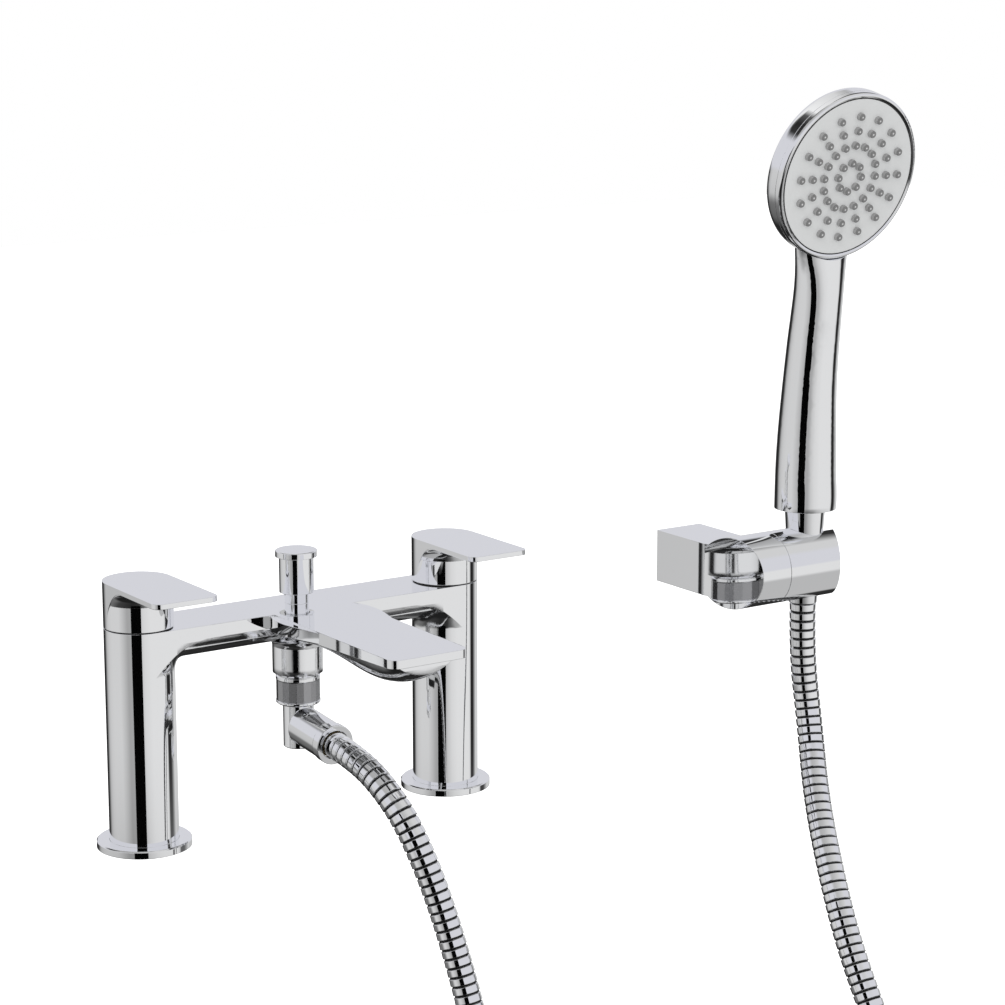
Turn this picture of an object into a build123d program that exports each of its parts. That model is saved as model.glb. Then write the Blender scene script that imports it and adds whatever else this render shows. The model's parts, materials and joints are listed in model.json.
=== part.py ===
"""Deck-mounted bath shower mixer with a hose, a swivelling wall bracket and a hand shower.

The origin is midway between the two pillars, on the deck. +X runs from the hot pillar to the cold
pillar, -Y is the side of the spout and +Z is up. Sizes are in millimetres and degrees.
"""
from build123d import *
import math
import os

os.makedirs("parts", exist_ok=True)

# Overrun of every cutting tool, and clearances
cut_over = 1.0
fit_gap = 0.05
seat_gap = 0.1
free_gap = 0.3

# Body: two pillars, the bridge between them and the spout
inlet_spacing = 180.0
pillar_radius = 17.45
body_height = 113.0
bridge_edge = 6.8
bridge_depth = 18.0
arch_radius = 16.0
arch_blend = 5.0
spout_reach = 128.0
spout_root_width = 45.8
spout_tip_width = 43.4
spout_root_edge = 8.0
spout_tip_edge = 4.3
spout_corner = 5.0
spout_bow_length = 16.0
spout_tip_belly = 16.2
spout_mid_belly = 15.6
spout_bow_belly = 10.5
inlet_radius = 12.06
inlet_depth = 18.0
riser_radius = 7.5
channel_radius = 4.2
channel_drop = 11.2
channel_rise = 3.0
edge_round = 0.6

# Base flanges and their seals
flange_radius = 23.9
flange_thickness = 3.8
base_seal_radius = 20.4
base_seal_width = 1.8
base_seal_depth = 1.2

# Ceramic valve cartridges
cartridge_seat_depth = 23.0
valve_body_radius = 9.0
valve_collar_radius = 11.4
valve_collar_length = 8.6
valve_wall = 1.1
valve_window_width = 7.0
valve_window_height = 6.0
valve_seal_length = 3.0
disc_radius = 7.7
disc_thickness = 2.5
disc_port = 5.0
spindle_radius = 4.0
spindle_foot_radius = 7.0
spindle_foot_length = 3.6
spindle_rise = 16.0

# Lever handles
seam_width = 0.6
glide_ring_outer = 16.8
glide_ring_inner = 13.6
glide_ring_thickness = 0.5
handle_rise = 23.8
lever_reach = 53.5
lever_corner = 4.6
lever_thickness = 2.6
lever_arch_reach = 16.5
handle_screw_radius = 1.95
handle_screw_length = 8.0
handle_screw_height = 7.5
hex_socket = 2.0
hex_socket_depth = 2.5

# Diverter
knob_cap_radius = 10.77
knob_cap_height = 3.3
knob_sleeve_radius = 8.9
knob_top_rise = 27.5
knob_foot_rise = 5.5
knob_bore_radius = 6.6
knob_bore_length = 9.0
bush_radius = 6.27
bush_rise = 6.0
bush_thread_radius = 5.6
diverter_rod_radius = 2.5
diverter_piston_radius = 7.2
diverter_piston_thickness = 2.0
diverter_seal_thickness = 2.4
diverter_chamber_radius = 8.5
diverter_chamber_cover = 9.5
diverter_chamber_depth = 19.5
boss_radius = 13.1
boss_flat_count = 6
boss_drop = 36.4

# Shower outlet: adaptor, union nut and elbow
adaptor_radius = 9.5
adaptor_bore = 6.0
adaptor_drop = 46.8
nut_radius = 11.55
nut_drop = 37.7
nut_length = 15.3
nut_flutes = 24
nut_flute_radius = 0.55
nut_rim = 1.6
nut_lip = 2.3
outlet_washer_thickness = 1.6
elbow_radius = 8.05
elbow_flange_radius = 9.2
elbow_flange_thickness = 2.0
elbow_drop = 76.4
elbow_bore = 5.2
branch_drop = 64.0
branch_angle = 5.0
branch_radius = 10.0
branch_length = 32.0
branch_bore = 7.2
branch_bore_start = 8.0
end_ring_radius = 10.5
end_ring_length = 5.0
end_ring_bore = 7.5
hose_inset = 2.4
check_valve_length = 9.0
check_valve_radius = 6.9
check_valve_bore = 3.4
ferrule_radius = 6.9
ferrule_bore = 4.2

# Aerator in the spout's belly
aerator_setback = 25.0
aerator_radius = 11.0
aerator_wall = 1.2
aerator_depth = 9.0
aerator_drop = 15.1
aerator_grid_holes = 5
aerator_hole_radius = 0.65
aerator_hole_step = 2.6
aerator_seal_width = 1.6

# Shower hose
hose_diameter = 14.0
hose_bore = 8.0
run_share = 0.45
hose_first_run = 22.0
hose_last_run = 28.0

# Wall bracket with its swivelling holder
bracket_left = 177.6
bracket_wall_y = -70.3
bracket_width = 28.0
bracket_tall = 27.3
bracket_end_step = 5.4
swivel_radius = 18.66
swivel_y = -125.25
swivel_z = 128.03
swivel_seam = 208.0
swivel_seam_gap = 0.2
swivel_end_angle = 20.0
holder_width = 39.4
spigot_radius = 9.0
spigot_length = 14.0
spigot_fit = 0.05
spigot_groove_depth = 1.6
spigot_groove_width = 4.4
spigot_groove_start = 3.0
spigot_ring_start = 10.0
spigot_ring_width = 1.8
holder_slot_width = 14.8
bracket_wall = 2.2
wall_plate_thickness = 5.0
wall_plate_fit = 0.1
wall_boss_width = 14.0
wall_boss_depth = 12.0
wall_pocket_depth = 13.0
wall_screw_radius = 2.3
wall_screw_spacing = 13.0
lock_screw_radius = 1.95
pivot_screw_radius = 1.95
pivot_screw_gap = 0.3
pivot_screw_sink = 1.0
lock_screw_inset = 8.0
lock_screw_length = 4.0
lock_screw_sink = 0.2

# Hose cone and hand shower
handset_offset = 23.6
cone_rise = 28.97
cone_drop = 21.03
cone_top_radius = 10.5
cone_foot_radius = 7.4
cone_bore = 5.0
cone_thread_radius = 9.0
cone_thread_depth = 9.0
cone_seat_gap = 0.15
handset_washer_thickness = 1.5
inlet_insert_radius = 8.9
inlet_insert_bore = 5.5
inlet_insert_length = 22.0
limiter_length = 5.0
limiter_bore = 1.6
limiter_gap = 4.0
ferrule_flange_thickness = 1.5
handset_ferrule_bore = 3.8
handle_heights = [0.0, 15.0, 30.0, 45.0, 60.0, 75.0, 90.0, 105.0, 120.0, 135.0, 150.0, 165.0]
handle_leans = [0.0, 0.0, 0.0, 0.4, 1.1, 2.3, 3.9, 5.8, 7.4, 8.2, 10.0, 13.5]
handle_half_widths = [16.05, 15.9, 15.5, 14.9, 14.2, 13.7, 13.35, 13.0, 13.4, 15.4, 17.6, 18.2]
handle_half_depths = [16.05, 15.9, 15.5, 14.9, 14.2, 13.7, 13.3, 12.8, 11.8, 10.0, 8.0, 5.4]
face_radius = 43.3
face_y = -153.3
face_z = 329.6
face_tilt = 13.9
drum_depth = 11.0
drum_dome = 6.5
drum_neck_radius = 20.0
drum_back_round = 3.0
drum_shoulder_share = 0.93
drum_crown = 2.0
rim_width = 2.6
rim_height = 1.6
rim_depth = 4.0
rim_bevel = 0.6
plate_thickness = 3.0
plate_gap = 0.15
head_cavity_radius = 39.0
head_cavity_depth = 6.0
head_seal_width = 2.0
distributor_slots = 8
distributor_slot_radius = 3.0
distributor_slot_share = 0.7
distributor_thickness = 2.0
nozzle_spokes = 16
inner_nozzles = 8
nozzle_ring_shares = [0.723, 0.552, 0.381]
inner_ring_share = 0.169
nozzle_radius = 1.25
nozzle_height = 1.1
nozzle_mat_thickness = 1.0
waterway_radius = 5.0
waterway_port_radius = 3.5
waterway_port_drop = -27.0
waterway_port_depth = 7.0


# Sizes worked out from the ones above
bridge_under = body_height - bridge_depth
edge_under = body_height - bridge_edge
hot_x = -inlet_spacing / 2
cold_x = inlet_spacing / 2
cartridge_seat = body_height - cartridge_seat_depth
handle_foot = body_height + seam_width
handle_top = body_height + handle_rise
channel_height = body_height - channel_drop
knob_top = body_height + knob_top_rise
knob_foot = body_height + knob_foot_rise
diverter_chamber_top = body_height - diverter_chamber_cover
diverter_seat_height = diverter_chamber_top - diverter_chamber_depth
boss_foot = body_height - boss_drop
adaptor_foot = body_height - adaptor_drop
nut_top = body_height - nut_drop
nut_foot = nut_top - nut_length
elbow_foot = body_height - elbow_drop
branch_height = body_height - branch_drop
aerator_reach = spout_reach - aerator_setback
aerator_foot = body_height - aerator_drop
holder_end = swivel_seam + holder_width
handset_x = swivel_seam + handset_offset
cone_top = swivel_z + cone_rise
cone_foot = swivel_z - cone_drop


base_align = (Align.CENTER, Align.CENTER, Align.MIN)
top_align = (Align.CENTER, Align.CENTER, Align.MAX)


def write(part, name):
    part.label = name
    export_step(part, f"parts/{name}.step")


def ring_part(outer, inner, low, high, x=0.0, y=0.0):
    """A plain ring about a vertical axis at x, y, from low to high."""
    with BuildPart() as ring:
        with BuildSketch(Plane.XY.offset(low)):
            with Locations((x, y)):
                Circle(outer)
                Circle(inner, mode=Mode.SUBTRACT)
        extrude(amount=high - low)
    return ring.part


def disc_part(outer, low, high, x=0.0, y=0.0):
    """A plain round bar about a vertical axis at x, y, from low to high."""
    with BuildPart() as disc:
        with BuildSketch(Plane.XY.offset(low)):
            with Locations((x, y)):
                Circle(outer)
        extrude(amount=high - low)
    return disc.part


# Bridge: flat on top, with a belly that swells downwards and an arch that flares into each pillar
def spout_section(reach, half, edge, belly):
    """The spout's belly at a reach from the pillars' plane, hung under its thin edge."""
    with BuildSketch(Plane.XZ.offset(reach)) as section:
        with BuildLine():
            Line((-half, body_height - edge), (-half, body_height - edge_round))
            Line((-half, body_height - edge_round), (half, body_height - edge_round))
            Line((half, body_height - edge_round), (half, body_height - edge))
            ThreePointArc((half, body_height - edge), (0, body_height - belly), (-half, body_height - edge))
        make_face()
    return section.sketch


with BuildPart() as bridge_belly:
    with BuildSketch(Plane.YZ.offset(hot_x)):
        with BuildLine():
            Line((-pillar_radius, edge_under), (pillar_radius, edge_under))
            ThreePointArc((pillar_radius, edge_under), (0, bridge_under), (-pillar_radius, edge_under))
        make_face()
    extrude(amount=inlet_spacing)

with BuildPart() as arch:
    with BuildSketch(Plane.XZ):
        with BuildLine():
            Line((hot_x, edge_under - arch_radius), (hot_x, edge_under))
            Line((hot_x, edge_under), (hot_x + pillar_radius + arch_radius, edge_under))
            RadiusArc(
                (hot_x + pillar_radius + arch_radius, edge_under),
                (hot_x + pillar_radius, edge_under - arch_radius),
                -arch_radius,
            )
            Line((hot_x + pillar_radius, edge_under - arch_radius), (hot_x, edge_under - arch_radius))
        make_face()
    revolve(axis=Axis((hot_x, 0, 0), (0, 0, 1)))
    with BuildSketch(Plane.XY.offset(edge_under - arch_radius)):
        with Locations((hot_x + pillar_radius + arch_radius, 0)):
            Rectangle(2 * (pillar_radius + arch_radius), 2 * pillar_radius)
    extrude(amount=arch_radius, mode=Mode.INTERSECT)

# Spout: a thin flat plate with a boat-shaped belly under it
spout_half_root = spout_root_width / 2
spout_half_tip = spout_tip_width / 2
spout_foot = pillar_radius - cut_over


def spout_share(reach):
    """How far along the spout a reach lies, from 0 at its root to 1 at its tip."""
    return (reach - pillar_radius) / (spout_reach - pillar_radius)


def spout_half(reach):
    return spout_half_root + (spout_half_tip - spout_half_root) * spout_share(reach)


def spout_edge(reach):
    return spout_root_edge + (spout_tip_edge - spout_root_edge) * spout_share(reach)


with BuildPart() as spout_plate:
    with BuildSketch(Plane.YZ):
        with BuildLine():
            Polyline(
                (-spout_foot, body_height),
                (-spout_reach, body_height),
                (-spout_reach, body_height - spout_tip_edge),
                (-spout_foot, body_height - spout_root_edge),
                close=True,
            )
        make_face()
    extrude(amount=spout_half_root, both=True)
    with BuildSketch(Plane.XY.offset(body_height - spout_root_edge)):
        with BuildLine():
            Polyline(
                (-spout_half_root, -spout_foot),
                (-spout_half_tip, -spout_reach),
                (spout_half_tip, -spout_reach),
                (spout_half_root, -spout_foot),
                close=True,
            )
        make_face()
        fillet(vertices().group_by(Axis.Y)[0], radius=spout_corner)
    extrude(amount=spout_root_edge, mode=Mode.INTERSECT)

bow_start = spout_reach - spout_bow_length
bow_end = spout_reach - spout_corner
belly_stations = [
    (pillar_radius * 0.6, spout_half(pillar_radius), bridge_depth),
    ((pillar_radius + bow_start) * 0.5, spout_half((pillar_radius + bow_start) * 0.5), spout_mid_belly),
    (bow_start, spout_half(bow_start), spout_tip_belly),
    (
        (bow_start + bow_end) * 0.5,
        spout_half(bow_end) - spout_corner * 0.25,
        (spout_tip_belly + spout_bow_belly) * 0.52,
    ),
    (bow_end, spout_half(bow_end) - spout_corner * 0.8, spout_bow_belly),
]

with BuildPart() as spout_belly:
    for reach, half, belly in belly_stations:
        add(spout_section(reach, half - edge_round, spout_edge(reach) - edge_round, belly))
    loft()

with BuildPart() as mixer_body:
    with BuildSketch(Plane.XY.offset(edge_under)):
        SlotCenterToCenter(inlet_spacing, 2 * pillar_radius)
    extrude(amount=bridge_edge)
    with BuildSketch(Plane.XY):
        with Locations((hot_x, 0), (cold_x, 0)):
            Circle(pillar_radius)
    extrude(amount=body_height)
    add(arch.part)
    add(mirror(arch.part, about=Plane.YZ, mode=Mode.PRIVATE))
    add(bridge_belly.part)
    add(spout_plate.part)
    add(spout_belly.part)
    with BuildSketch(Plane.XY.offset(boss_foot)):
        Circle(boss_radius)
        RegularPolygon(boss_radius, boss_flat_count, rotation=30, major_radius=False, mode=Mode.INTERSECT)
    extrude(amount=edge_under - boss_foot)
    arch_creases = mixer_body.edges().filter_by(
        lambda edge: abs(edge.center().Z - bridge_under) < edge_round and abs(edge.center().Y) < edge_round
        and edge.length > 2 * pillar_radius
        and abs(edge.center().X) > inlet_spacing / 4
    )
    fillet(arch_creases, radius=arch_blend)
    # Inlet sockets, risers and the valve chambers in both pillars
    with Locations((hot_x, 0, 0), (cold_x, 0, 0)):
        Cylinder(inlet_radius, inlet_depth, align=base_align, mode=Mode.SUBTRACT)
        Cylinder(riser_radius, cartridge_seat, align=base_align, mode=Mode.SUBTRACT)
    with Locations((hot_x, 0, cartridge_seat), (cold_x, 0, cartridge_seat)):
        Cylinder(valve_body_radius + free_gap, cartridge_seat_depth, align=base_align, mode=Mode.SUBTRACT)
    with Locations((hot_x, 0, body_height), (cold_x, 0, body_height)):
        Cylinder(valve_collar_radius + fit_gap, valve_collar_length, align=top_align, mode=Mode.SUBTRACT)
    # Mixing channel along the bridge and the channel to the spout
    with BuildSketch(Plane.YZ):
        with Locations((0, channel_height)):
            Circle(channel_radius)
    extrude(amount=inlet_spacing / 2, both=True, mode=Mode.SUBTRACT)
    with BuildSketch(Plane.XZ):
        with Locations((0, channel_height + channel_rise)):
            Circle(channel_radius)
    extrude(amount=aerator_reach, mode=Mode.SUBTRACT)
    # Diverter chamber, its threaded mouth and the outlet's thread
    with Locations((0, 0, diverter_seat_height)):
        Cylinder(
            diverter_chamber_radius,
            diverter_chamber_top - diverter_seat_height,
            align=base_align,
            mode=Mode.SUBTRACT,
        )
    with Locations((0, 0, boss_foot)):
        Cylinder(
            adaptor_radius + fit_gap, diverter_seat_height - boss_foot, align=base_align, mode=Mode.SUBTRACT
        )
    with Locations((0, 0, body_height)):
        Cylinder(
            bush_thread_radius + fit_gap,
            body_height - diverter_chamber_top,
            align=top_align,
            mode=Mode.SUBTRACT,
        )
    # Aerator socket in the belly
    with Locations((0, -aerator_reach, aerator_foot)):
        Cylinder(aerator_radius + fit_gap, aerator_depth, align=base_align, mode=Mode.SUBTRACT)
write(mixer_body.part, "mixer_body")


# Base flanges, seals, cartridges, spindles and lever handles, one set for each pillar
def lever_outline():
    """The lever's outline from above: round behind, straight sides and rounded front corners."""
    with BuildSketch() as outline:
        with BuildLine():
            Line((-pillar_radius, 0), (-pillar_radius, -lever_reach))
            Line((-pillar_radius, -lever_reach), (pillar_radius, -lever_reach))
            Line((pillar_radius, -lever_reach), (pillar_radius, 0))
            ThreePointArc((pillar_radius, 0), (0, pillar_radius), (-pillar_radius, 0))
        make_face()
        fillet(outline.vertices().group_by(Axis.Y)[0], radius=lever_corner)
    return outline.sketch


for side, pillar_x in (("hot", hot_x), ("cold", cold_x)):
    with BuildPart() as base_flange:
        with BuildSketch(Plane.XY):
            with Locations((pillar_x, 0)):
                Circle(flange_radius)
                Circle(pillar_radius + fit_gap, mode=Mode.SUBTRACT)
        extrude(amount=flange_thickness)
        chamfer(base_flange.edges().group_by(Axis.Z)[-1].sort_by(SortBy.LENGTH)[-1], length=edge_round)
        with BuildSketch(Plane.XY):
            with Locations((pillar_x, 0)):
                Circle(base_seal_radius + fit_gap)
                Circle(base_seal_radius - base_seal_width - fit_gap, mode=Mode.SUBTRACT)
        extrude(amount=base_seal_depth + fit_gap, mode=Mode.SUBTRACT)
    write(base_flange.part, f"{side}_base_flange")

    with BuildPart() as base_seal:
        with BuildSketch(Plane.XY):
            with Locations((pillar_x, 0)):
                Circle(base_seal_radius)
                Circle(base_seal_radius - base_seal_width, mode=Mode.SUBTRACT)
        extrude(amount=base_seal_depth)
    write(base_seal.part, f"{side}_base_seal")

    # The valve's brass body, with a square wrench end, windows at its side and the discs' chamber inside
    valve_foot = cartridge_seat + valve_seal_length + seat_gap
    disc_chamber_top = valve_foot + 2 * (disc_thickness + seat_gap) + spindle_foot_length + seat_gap
    with BuildPart() as valve_body:
        with BuildSketch(Plane.XY.offset(valve_foot)):
            with Locations((pillar_x, 0)):
                Circle(valve_body_radius)
        extrude(amount=body_height - seat_gap - valve_foot)
        with BuildSketch(Plane.XY.offset(body_height - valve_collar_length + seat_gap)):
            with Locations((pillar_x, 0)):
                Circle(valve_collar_radius)
        extrude(amount=valve_collar_length - 2 * seat_gap)
        with Locations((pillar_x, 0, valve_foot)):
            Cylinder(
                valve_body_radius - valve_wall,
                disc_chamber_top - valve_foot,
                align=base_align,
                mode=Mode.SUBTRACT,
            )
        with Locations((pillar_x, 0, body_height)):
            Cylinder(
                spindle_radius + fit_gap,
                body_height - disc_chamber_top,
                align=top_align,
                mode=Mode.SUBTRACT,
            )
        with Locations((pillar_x, 0, disc_chamber_top)):
            Box(
                2 * valve_collar_radius,
                valve_window_width,
                valve_window_height,
                align=top_align,
                mode=Mode.SUBTRACT,
            )
    write(valve_body.part, f"{side}_valve_body")

    with BuildPart() as valve_seal:
        with BuildSketch(Plane.XY.offset(cartridge_seat + seat_gap / 2)):
            with Locations((pillar_x, 0)):
                Circle(valve_body_radius)
                Circle(riser_radius - valve_wall, mode=Mode.SUBTRACT)
        extrude(amount=valve_seal_length)
    write(valve_seal.part, f"{side}_valve_seal")

    # Two ceramic discs, each with two sector ports: the lower one is fixed and the upper one turns
    for disc_name, disc_foot in (
        ("fixed_disc", valve_foot + fit_gap),
        ("moving_disc", valve_foot + disc_thickness + seat_gap + fit_gap),
    ):
        with BuildPart() as ceramic_disc:
            with BuildSketch(Plane.XY.offset(disc_foot)):
                with Locations((pillar_x, 0)):
                    Circle(disc_radius)
                with Locations((pillar_x, disc_port * 0.85), (pillar_x, -disc_port * 0.85)):
                    SlotOverall(disc_port * 1.5, disc_port * 0.7, mode=Mode.SUBTRACT)
            extrude(amount=disc_thickness)
        write(ceramic_disc.part, f"{side}_{disc_name}")

    spindle_foot = valve_foot + 2 * (disc_thickness + seat_gap) + fit_gap
    with BuildPart() as spindle:
        with BuildSketch(Plane.XY.offset(spindle_foot)):
            with Locations((pillar_x, 0)):
                Circle(spindle_foot_radius)
        extrude(amount=spindle_foot_length)
        with BuildSketch(Plane.XY.offset(spindle_foot + spindle_foot_length)):
            with Locations((pillar_x, 0)):
                Circle(spindle_radius)
        extrude(amount=body_height + spindle_rise - spindle_foot - spindle_foot_length)
    write(spindle.part, f"{side}_spindle")

    with BuildPart() as glide_ring:
        with BuildSketch(Plane.XY.offset(body_height)):
            with Locations((pillar_x, 0)):
                Circle(glide_ring_outer)
                Circle(glide_ring_inner, mode=Mode.SUBTRACT)
        extrude(amount=glide_ring_thickness)
    write(glide_ring.part, f"{side}_glide_ring")

    # The handle: a round hub, a flat lever and a web whose underside arches from the hub's foot
    with BuildPart() as handle:
        with BuildSketch(Plane.XY.offset(handle_foot)):
            add(lever_outline().moved(Location((pillar_x, 0, 0))))
        extrude(amount=handle_top - handle_foot)
        with BuildSketch(Plane.YZ.offset(pillar_x)):
            with BuildLine():
                Line((0, handle_foot - cut_over), (0, handle_foot))
                EllipticalCenterArc(
                    (-lever_arch_reach, handle_foot),
                    lever_arch_reach,
                    handle_top - lever_thickness - handle_foot,
                    arc_size=90,
                )
                Line(
                    (-lever_arch_reach, handle_top - lever_thickness),
                    (-lever_reach - cut_over, handle_top - lever_thickness),
                )
                Line(
                    (-lever_reach - cut_over, handle_top - lever_thickness),
                    (-lever_reach - cut_over, handle_foot - cut_over),
                )
                Line((-lever_reach - cut_over, handle_foot - cut_over), (0, handle_foot - cut_over))
            make_face()
        extrude(amount=pillar_radius + cut_over, both=True, mode=Mode.SUBTRACT)
        with BuildSketch(Plane.XY.offset(handle_foot)):
            with Locations((pillar_x, 0)):
                Circle(pillar_radius)
        extrude(amount=handle_top - handle_foot - lever_thickness / 2)
        with Locations((pillar_x, 0, handle_foot)):
            Cylinder(
                spindle_radius + fit_gap,
                spindle_rise,
                align=base_align,
                mode=Mode.SUBTRACT,
            )
        with BuildSketch(Plane.XZ.offset(-spindle_radius)):
            with Locations((pillar_x, handle_foot + handle_screw_height)):
                Circle(handle_screw_radius + fit_gap)
        extrude(amount=-pillar_radius, mode=Mode.SUBTRACT)
    write(handle.part, f"{side}_handle")

    with BuildPart() as handle_screw:
        with BuildSketch(Plane.XZ.offset(-spindle_radius - seat_gap)):
            with Locations((pillar_x, handle_foot + handle_screw_height)):
                Circle(handle_screw_radius)
        extrude(amount=-handle_screw_length)
        with BuildSketch(Plane.XZ.offset(-spindle_radius - seat_gap - handle_screw_length)):
            with Locations((pillar_x, handle_foot + handle_screw_height)):
                RegularPolygon(hex_socket / 2, 6, major_radius=False)
        extrude(amount=hex_socket_depth, mode=Mode.SUBTRACT)
    write(handle_screw.part, f"{side}_handle_screw")

# Diverter: bush, sliding rod with its piston and seal, and the pull-up knob
bush_top = body_height + bush_rise
with BuildPart() as diverter_bush:
    with BuildSketch(Plane.XY.offset(diverter_chamber_top)):
        Circle(bush_thread_radius)
    extrude(amount=body_height - diverter_chamber_top)
    with BuildSketch(Plane.XY.offset(body_height)):
        Circle(bush_radius)
    extrude(amount=bush_rise)
    with Locations((0, 0, diverter_chamber_top)):
        Cylinder(diverter_rod_radius + fit_gap, body_height, align=base_align, mode=Mode.SUBTRACT)
write(diverter_bush.part, "diverter_bush")

piston_foot = diverter_seat_height + free_gap
seal_top = piston_foot + diverter_seal_thickness
piston_top = seal_top + diverter_piston_thickness
with BuildPart() as diverter_rod:
    with BuildSketch(Plane.XY.offset(piston_foot)):
        Circle(diverter_rod_radius)
    extrude(amount=knob_top - knob_cap_height - piston_foot)
    with BuildSketch(Plane.XY.offset(seal_top)):
        Circle(diverter_piston_radius)
    extrude(amount=diverter_piston_thickness)
write(diverter_rod.part, "diverter_rod")

write(
    ring_part(
        diverter_piston_radius + free_gap,
        diverter_rod_radius + fit_gap,
        piston_foot,
        seal_top - fit_gap,
    ),
    "diverter_piston_seal",
)

knob_neck = knob_top - knob_cap_height
with BuildPart() as diverter_knob:
    with BuildSketch(Plane.XY.offset(knob_foot)):
        Circle(knob_sleeve_radius)
    extrude(amount=knob_neck - knob_foot)
    with BuildSketch(Plane.XY.offset(knob_neck)):
        Circle(knob_cap_radius)
    extrude(amount=knob_cap_height)
    fillet(diverter_knob.edges().group_by(Axis.Z)[-1], radius=edge_round)
    with Locations((0, 0, knob_foot)):
        Cylinder(knob_bore_radius, knob_bore_length, align=base_align, mode=Mode.SUBTRACT)
        Cylinder(diverter_rod_radius + fit_gap, knob_neck - knob_foot, align=base_align, mode=Mode.SUBTRACT)
write(diverter_knob.part, "diverter_knob")

# Shower outlet: threaded adaptor, washer, fluted union nut and elbow
with BuildPart() as outlet_adaptor:
    with BuildSketch(Plane.XY.offset(adaptor_foot)):
        Circle(adaptor_radius)
        Circle(adaptor_bore, mode=Mode.SUBTRACT)
    extrude(amount=diverter_seat_height - adaptor_foot)
write(outlet_adaptor.part, "outlet_adaptor")

washer_foot = adaptor_foot - outlet_washer_thickness
write(
    ring_part(adaptor_radius - fit_gap, adaptor_bore, washer_foot, adaptor_foot),
    "outlet_washer",
)

with BuildPart() as union_nut:
    with BuildSketch(Plane.XY.offset(nut_foot)):
        Circle(nut_radius)
    extrude(amount=nut_top - nut_foot)
    with BuildSketch(Plane.XY.offset(nut_foot + nut_rim)):
        with PolarLocations(nut_radius, nut_flutes):
            Circle(nut_flute_radius)
    extrude(amount=nut_top - nut_foot - 2 * nut_rim, mode=Mode.SUBTRACT)
    with Locations((0, 0, nut_foot)):
        Cylinder(elbow_radius + seat_gap, nut_lip, align=base_align, mode=Mode.SUBTRACT)
    with Locations((0, 0, nut_foot + nut_lip)):
        Cylinder(adaptor_radius + seat_gap, nut_top - nut_foot, align=base_align, mode=Mode.SUBTRACT)
write(union_nut.part, "union_nut")

branch_plane = Plane(
    origin=(0, 0, branch_height),
    x_dir=(1, 0, 0),
    z_dir=(0, -math.cos(math.radians(branch_angle)), -math.sin(math.radians(branch_angle))),
)
elbow_top = washer_foot
with BuildPart() as elbow:
    with BuildSketch(Plane.XY.offset(elbow_foot)):
        Circle(elbow_radius)
    extrude(amount=elbow_top - elbow_foot)
    with BuildSketch(Plane.XY.offset(elbow_top - elbow_flange_thickness)):
        Circle(elbow_flange_radius)
    extrude(amount=elbow_flange_thickness)
    with BuildSketch(branch_plane):
        Circle(branch_radius)
    extrude(amount=branch_length)
    fillet(elbow.edges().group_by(Axis.Z)[0], radius=edge_round)
    with BuildSketch(Plane.XY.offset(branch_height)):
        Circle(elbow_bore)
    extrude(amount=elbow_top - branch_height, mode=Mode.SUBTRACT)
    with BuildSketch(branch_plane):
        Circle(elbow_bore)
    extrude(amount=branch_bore_start, mode=Mode.SUBTRACT)
    with BuildSketch(branch_plane.offset(branch_bore_start)):
        Circle(branch_bore)
    extrude(amount=branch_length, mode=Mode.SUBTRACT)
write(elbow.part, "elbow")

with BuildPart() as check_valve:
    with BuildSketch(branch_plane.offset(branch_bore_start + seat_gap)):
        Circle(check_valve_radius)
        Circle(check_valve_bore, mode=Mode.SUBTRACT)
    extrude(amount=check_valve_length)
write(check_valve.part, "check_valve")

with BuildPart() as end_ring:
    with BuildSketch(branch_plane.offset(branch_length)):
        Circle(end_ring_radius)
        Circle(end_ring_bore, mode=Mode.SUBTRACT)
    extrude(amount=end_ring_length)
    fillet(end_ring.edges().filter_by(GeomType.CIRCLE).sort_by(Axis.Y)[0:2], radius=edge_round * 0.5)
write(end_ring.part, "elbow_end_ring")

hose_start = branch_length + end_ring_length - hose_inset
ferrule_start = branch_bore_start + check_valve_length + 2 * seat_gap
with BuildPart() as elbow_ferrule:
    with BuildSketch(branch_plane.offset(ferrule_start)):
        Circle(ferrule_radius)
        Circle(ferrule_bore, mode=Mode.SUBTRACT)
    extrude(amount=hose_start - ferrule_start)
write(elbow_ferrule.part, "elbow_ferrule")

# Aerator: a threaded housing with a perforated insert and its seal
with BuildPart() as aerator_housing:
    with BuildSketch(Plane.XY.offset(aerator_foot)):
        with Locations((0, -aerator_reach)):
            Circle(aerator_radius)
            Circle(aerator_radius - aerator_wall, mode=Mode.SUBTRACT)
    extrude(amount=aerator_depth - aerator_seal_width)
write(aerator_housing.part, "aerator_housing")

insert_radius = aerator_radius - aerator_wall - fit_gap
with BuildPart() as aerator_insert:
    with BuildSketch(Plane.XY.offset(aerator_foot + aerator_wall)):
        with Locations((0, -aerator_reach)):
            Circle(insert_radius)
            with GridLocations(aerator_hole_step, aerator_hole_step, aerator_grid_holes, aerator_grid_holes):
                Circle(aerator_hole_radius, mode=Mode.SUBTRACT)
    extrude(amount=aerator_depth - aerator_seal_width - 2 * aerator_wall)
write(aerator_insert.part, "aerator_insert")

write(
    ring_part(
        aerator_radius,
        aerator_radius - 2 * aerator_wall,
        aerator_foot + aerator_depth - aerator_seal_width + fit_gap,
        aerator_foot + aerator_depth - fit_gap,
        0.0,
        -aerator_reach,
    ),
    "aerator_seal",
)

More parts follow.
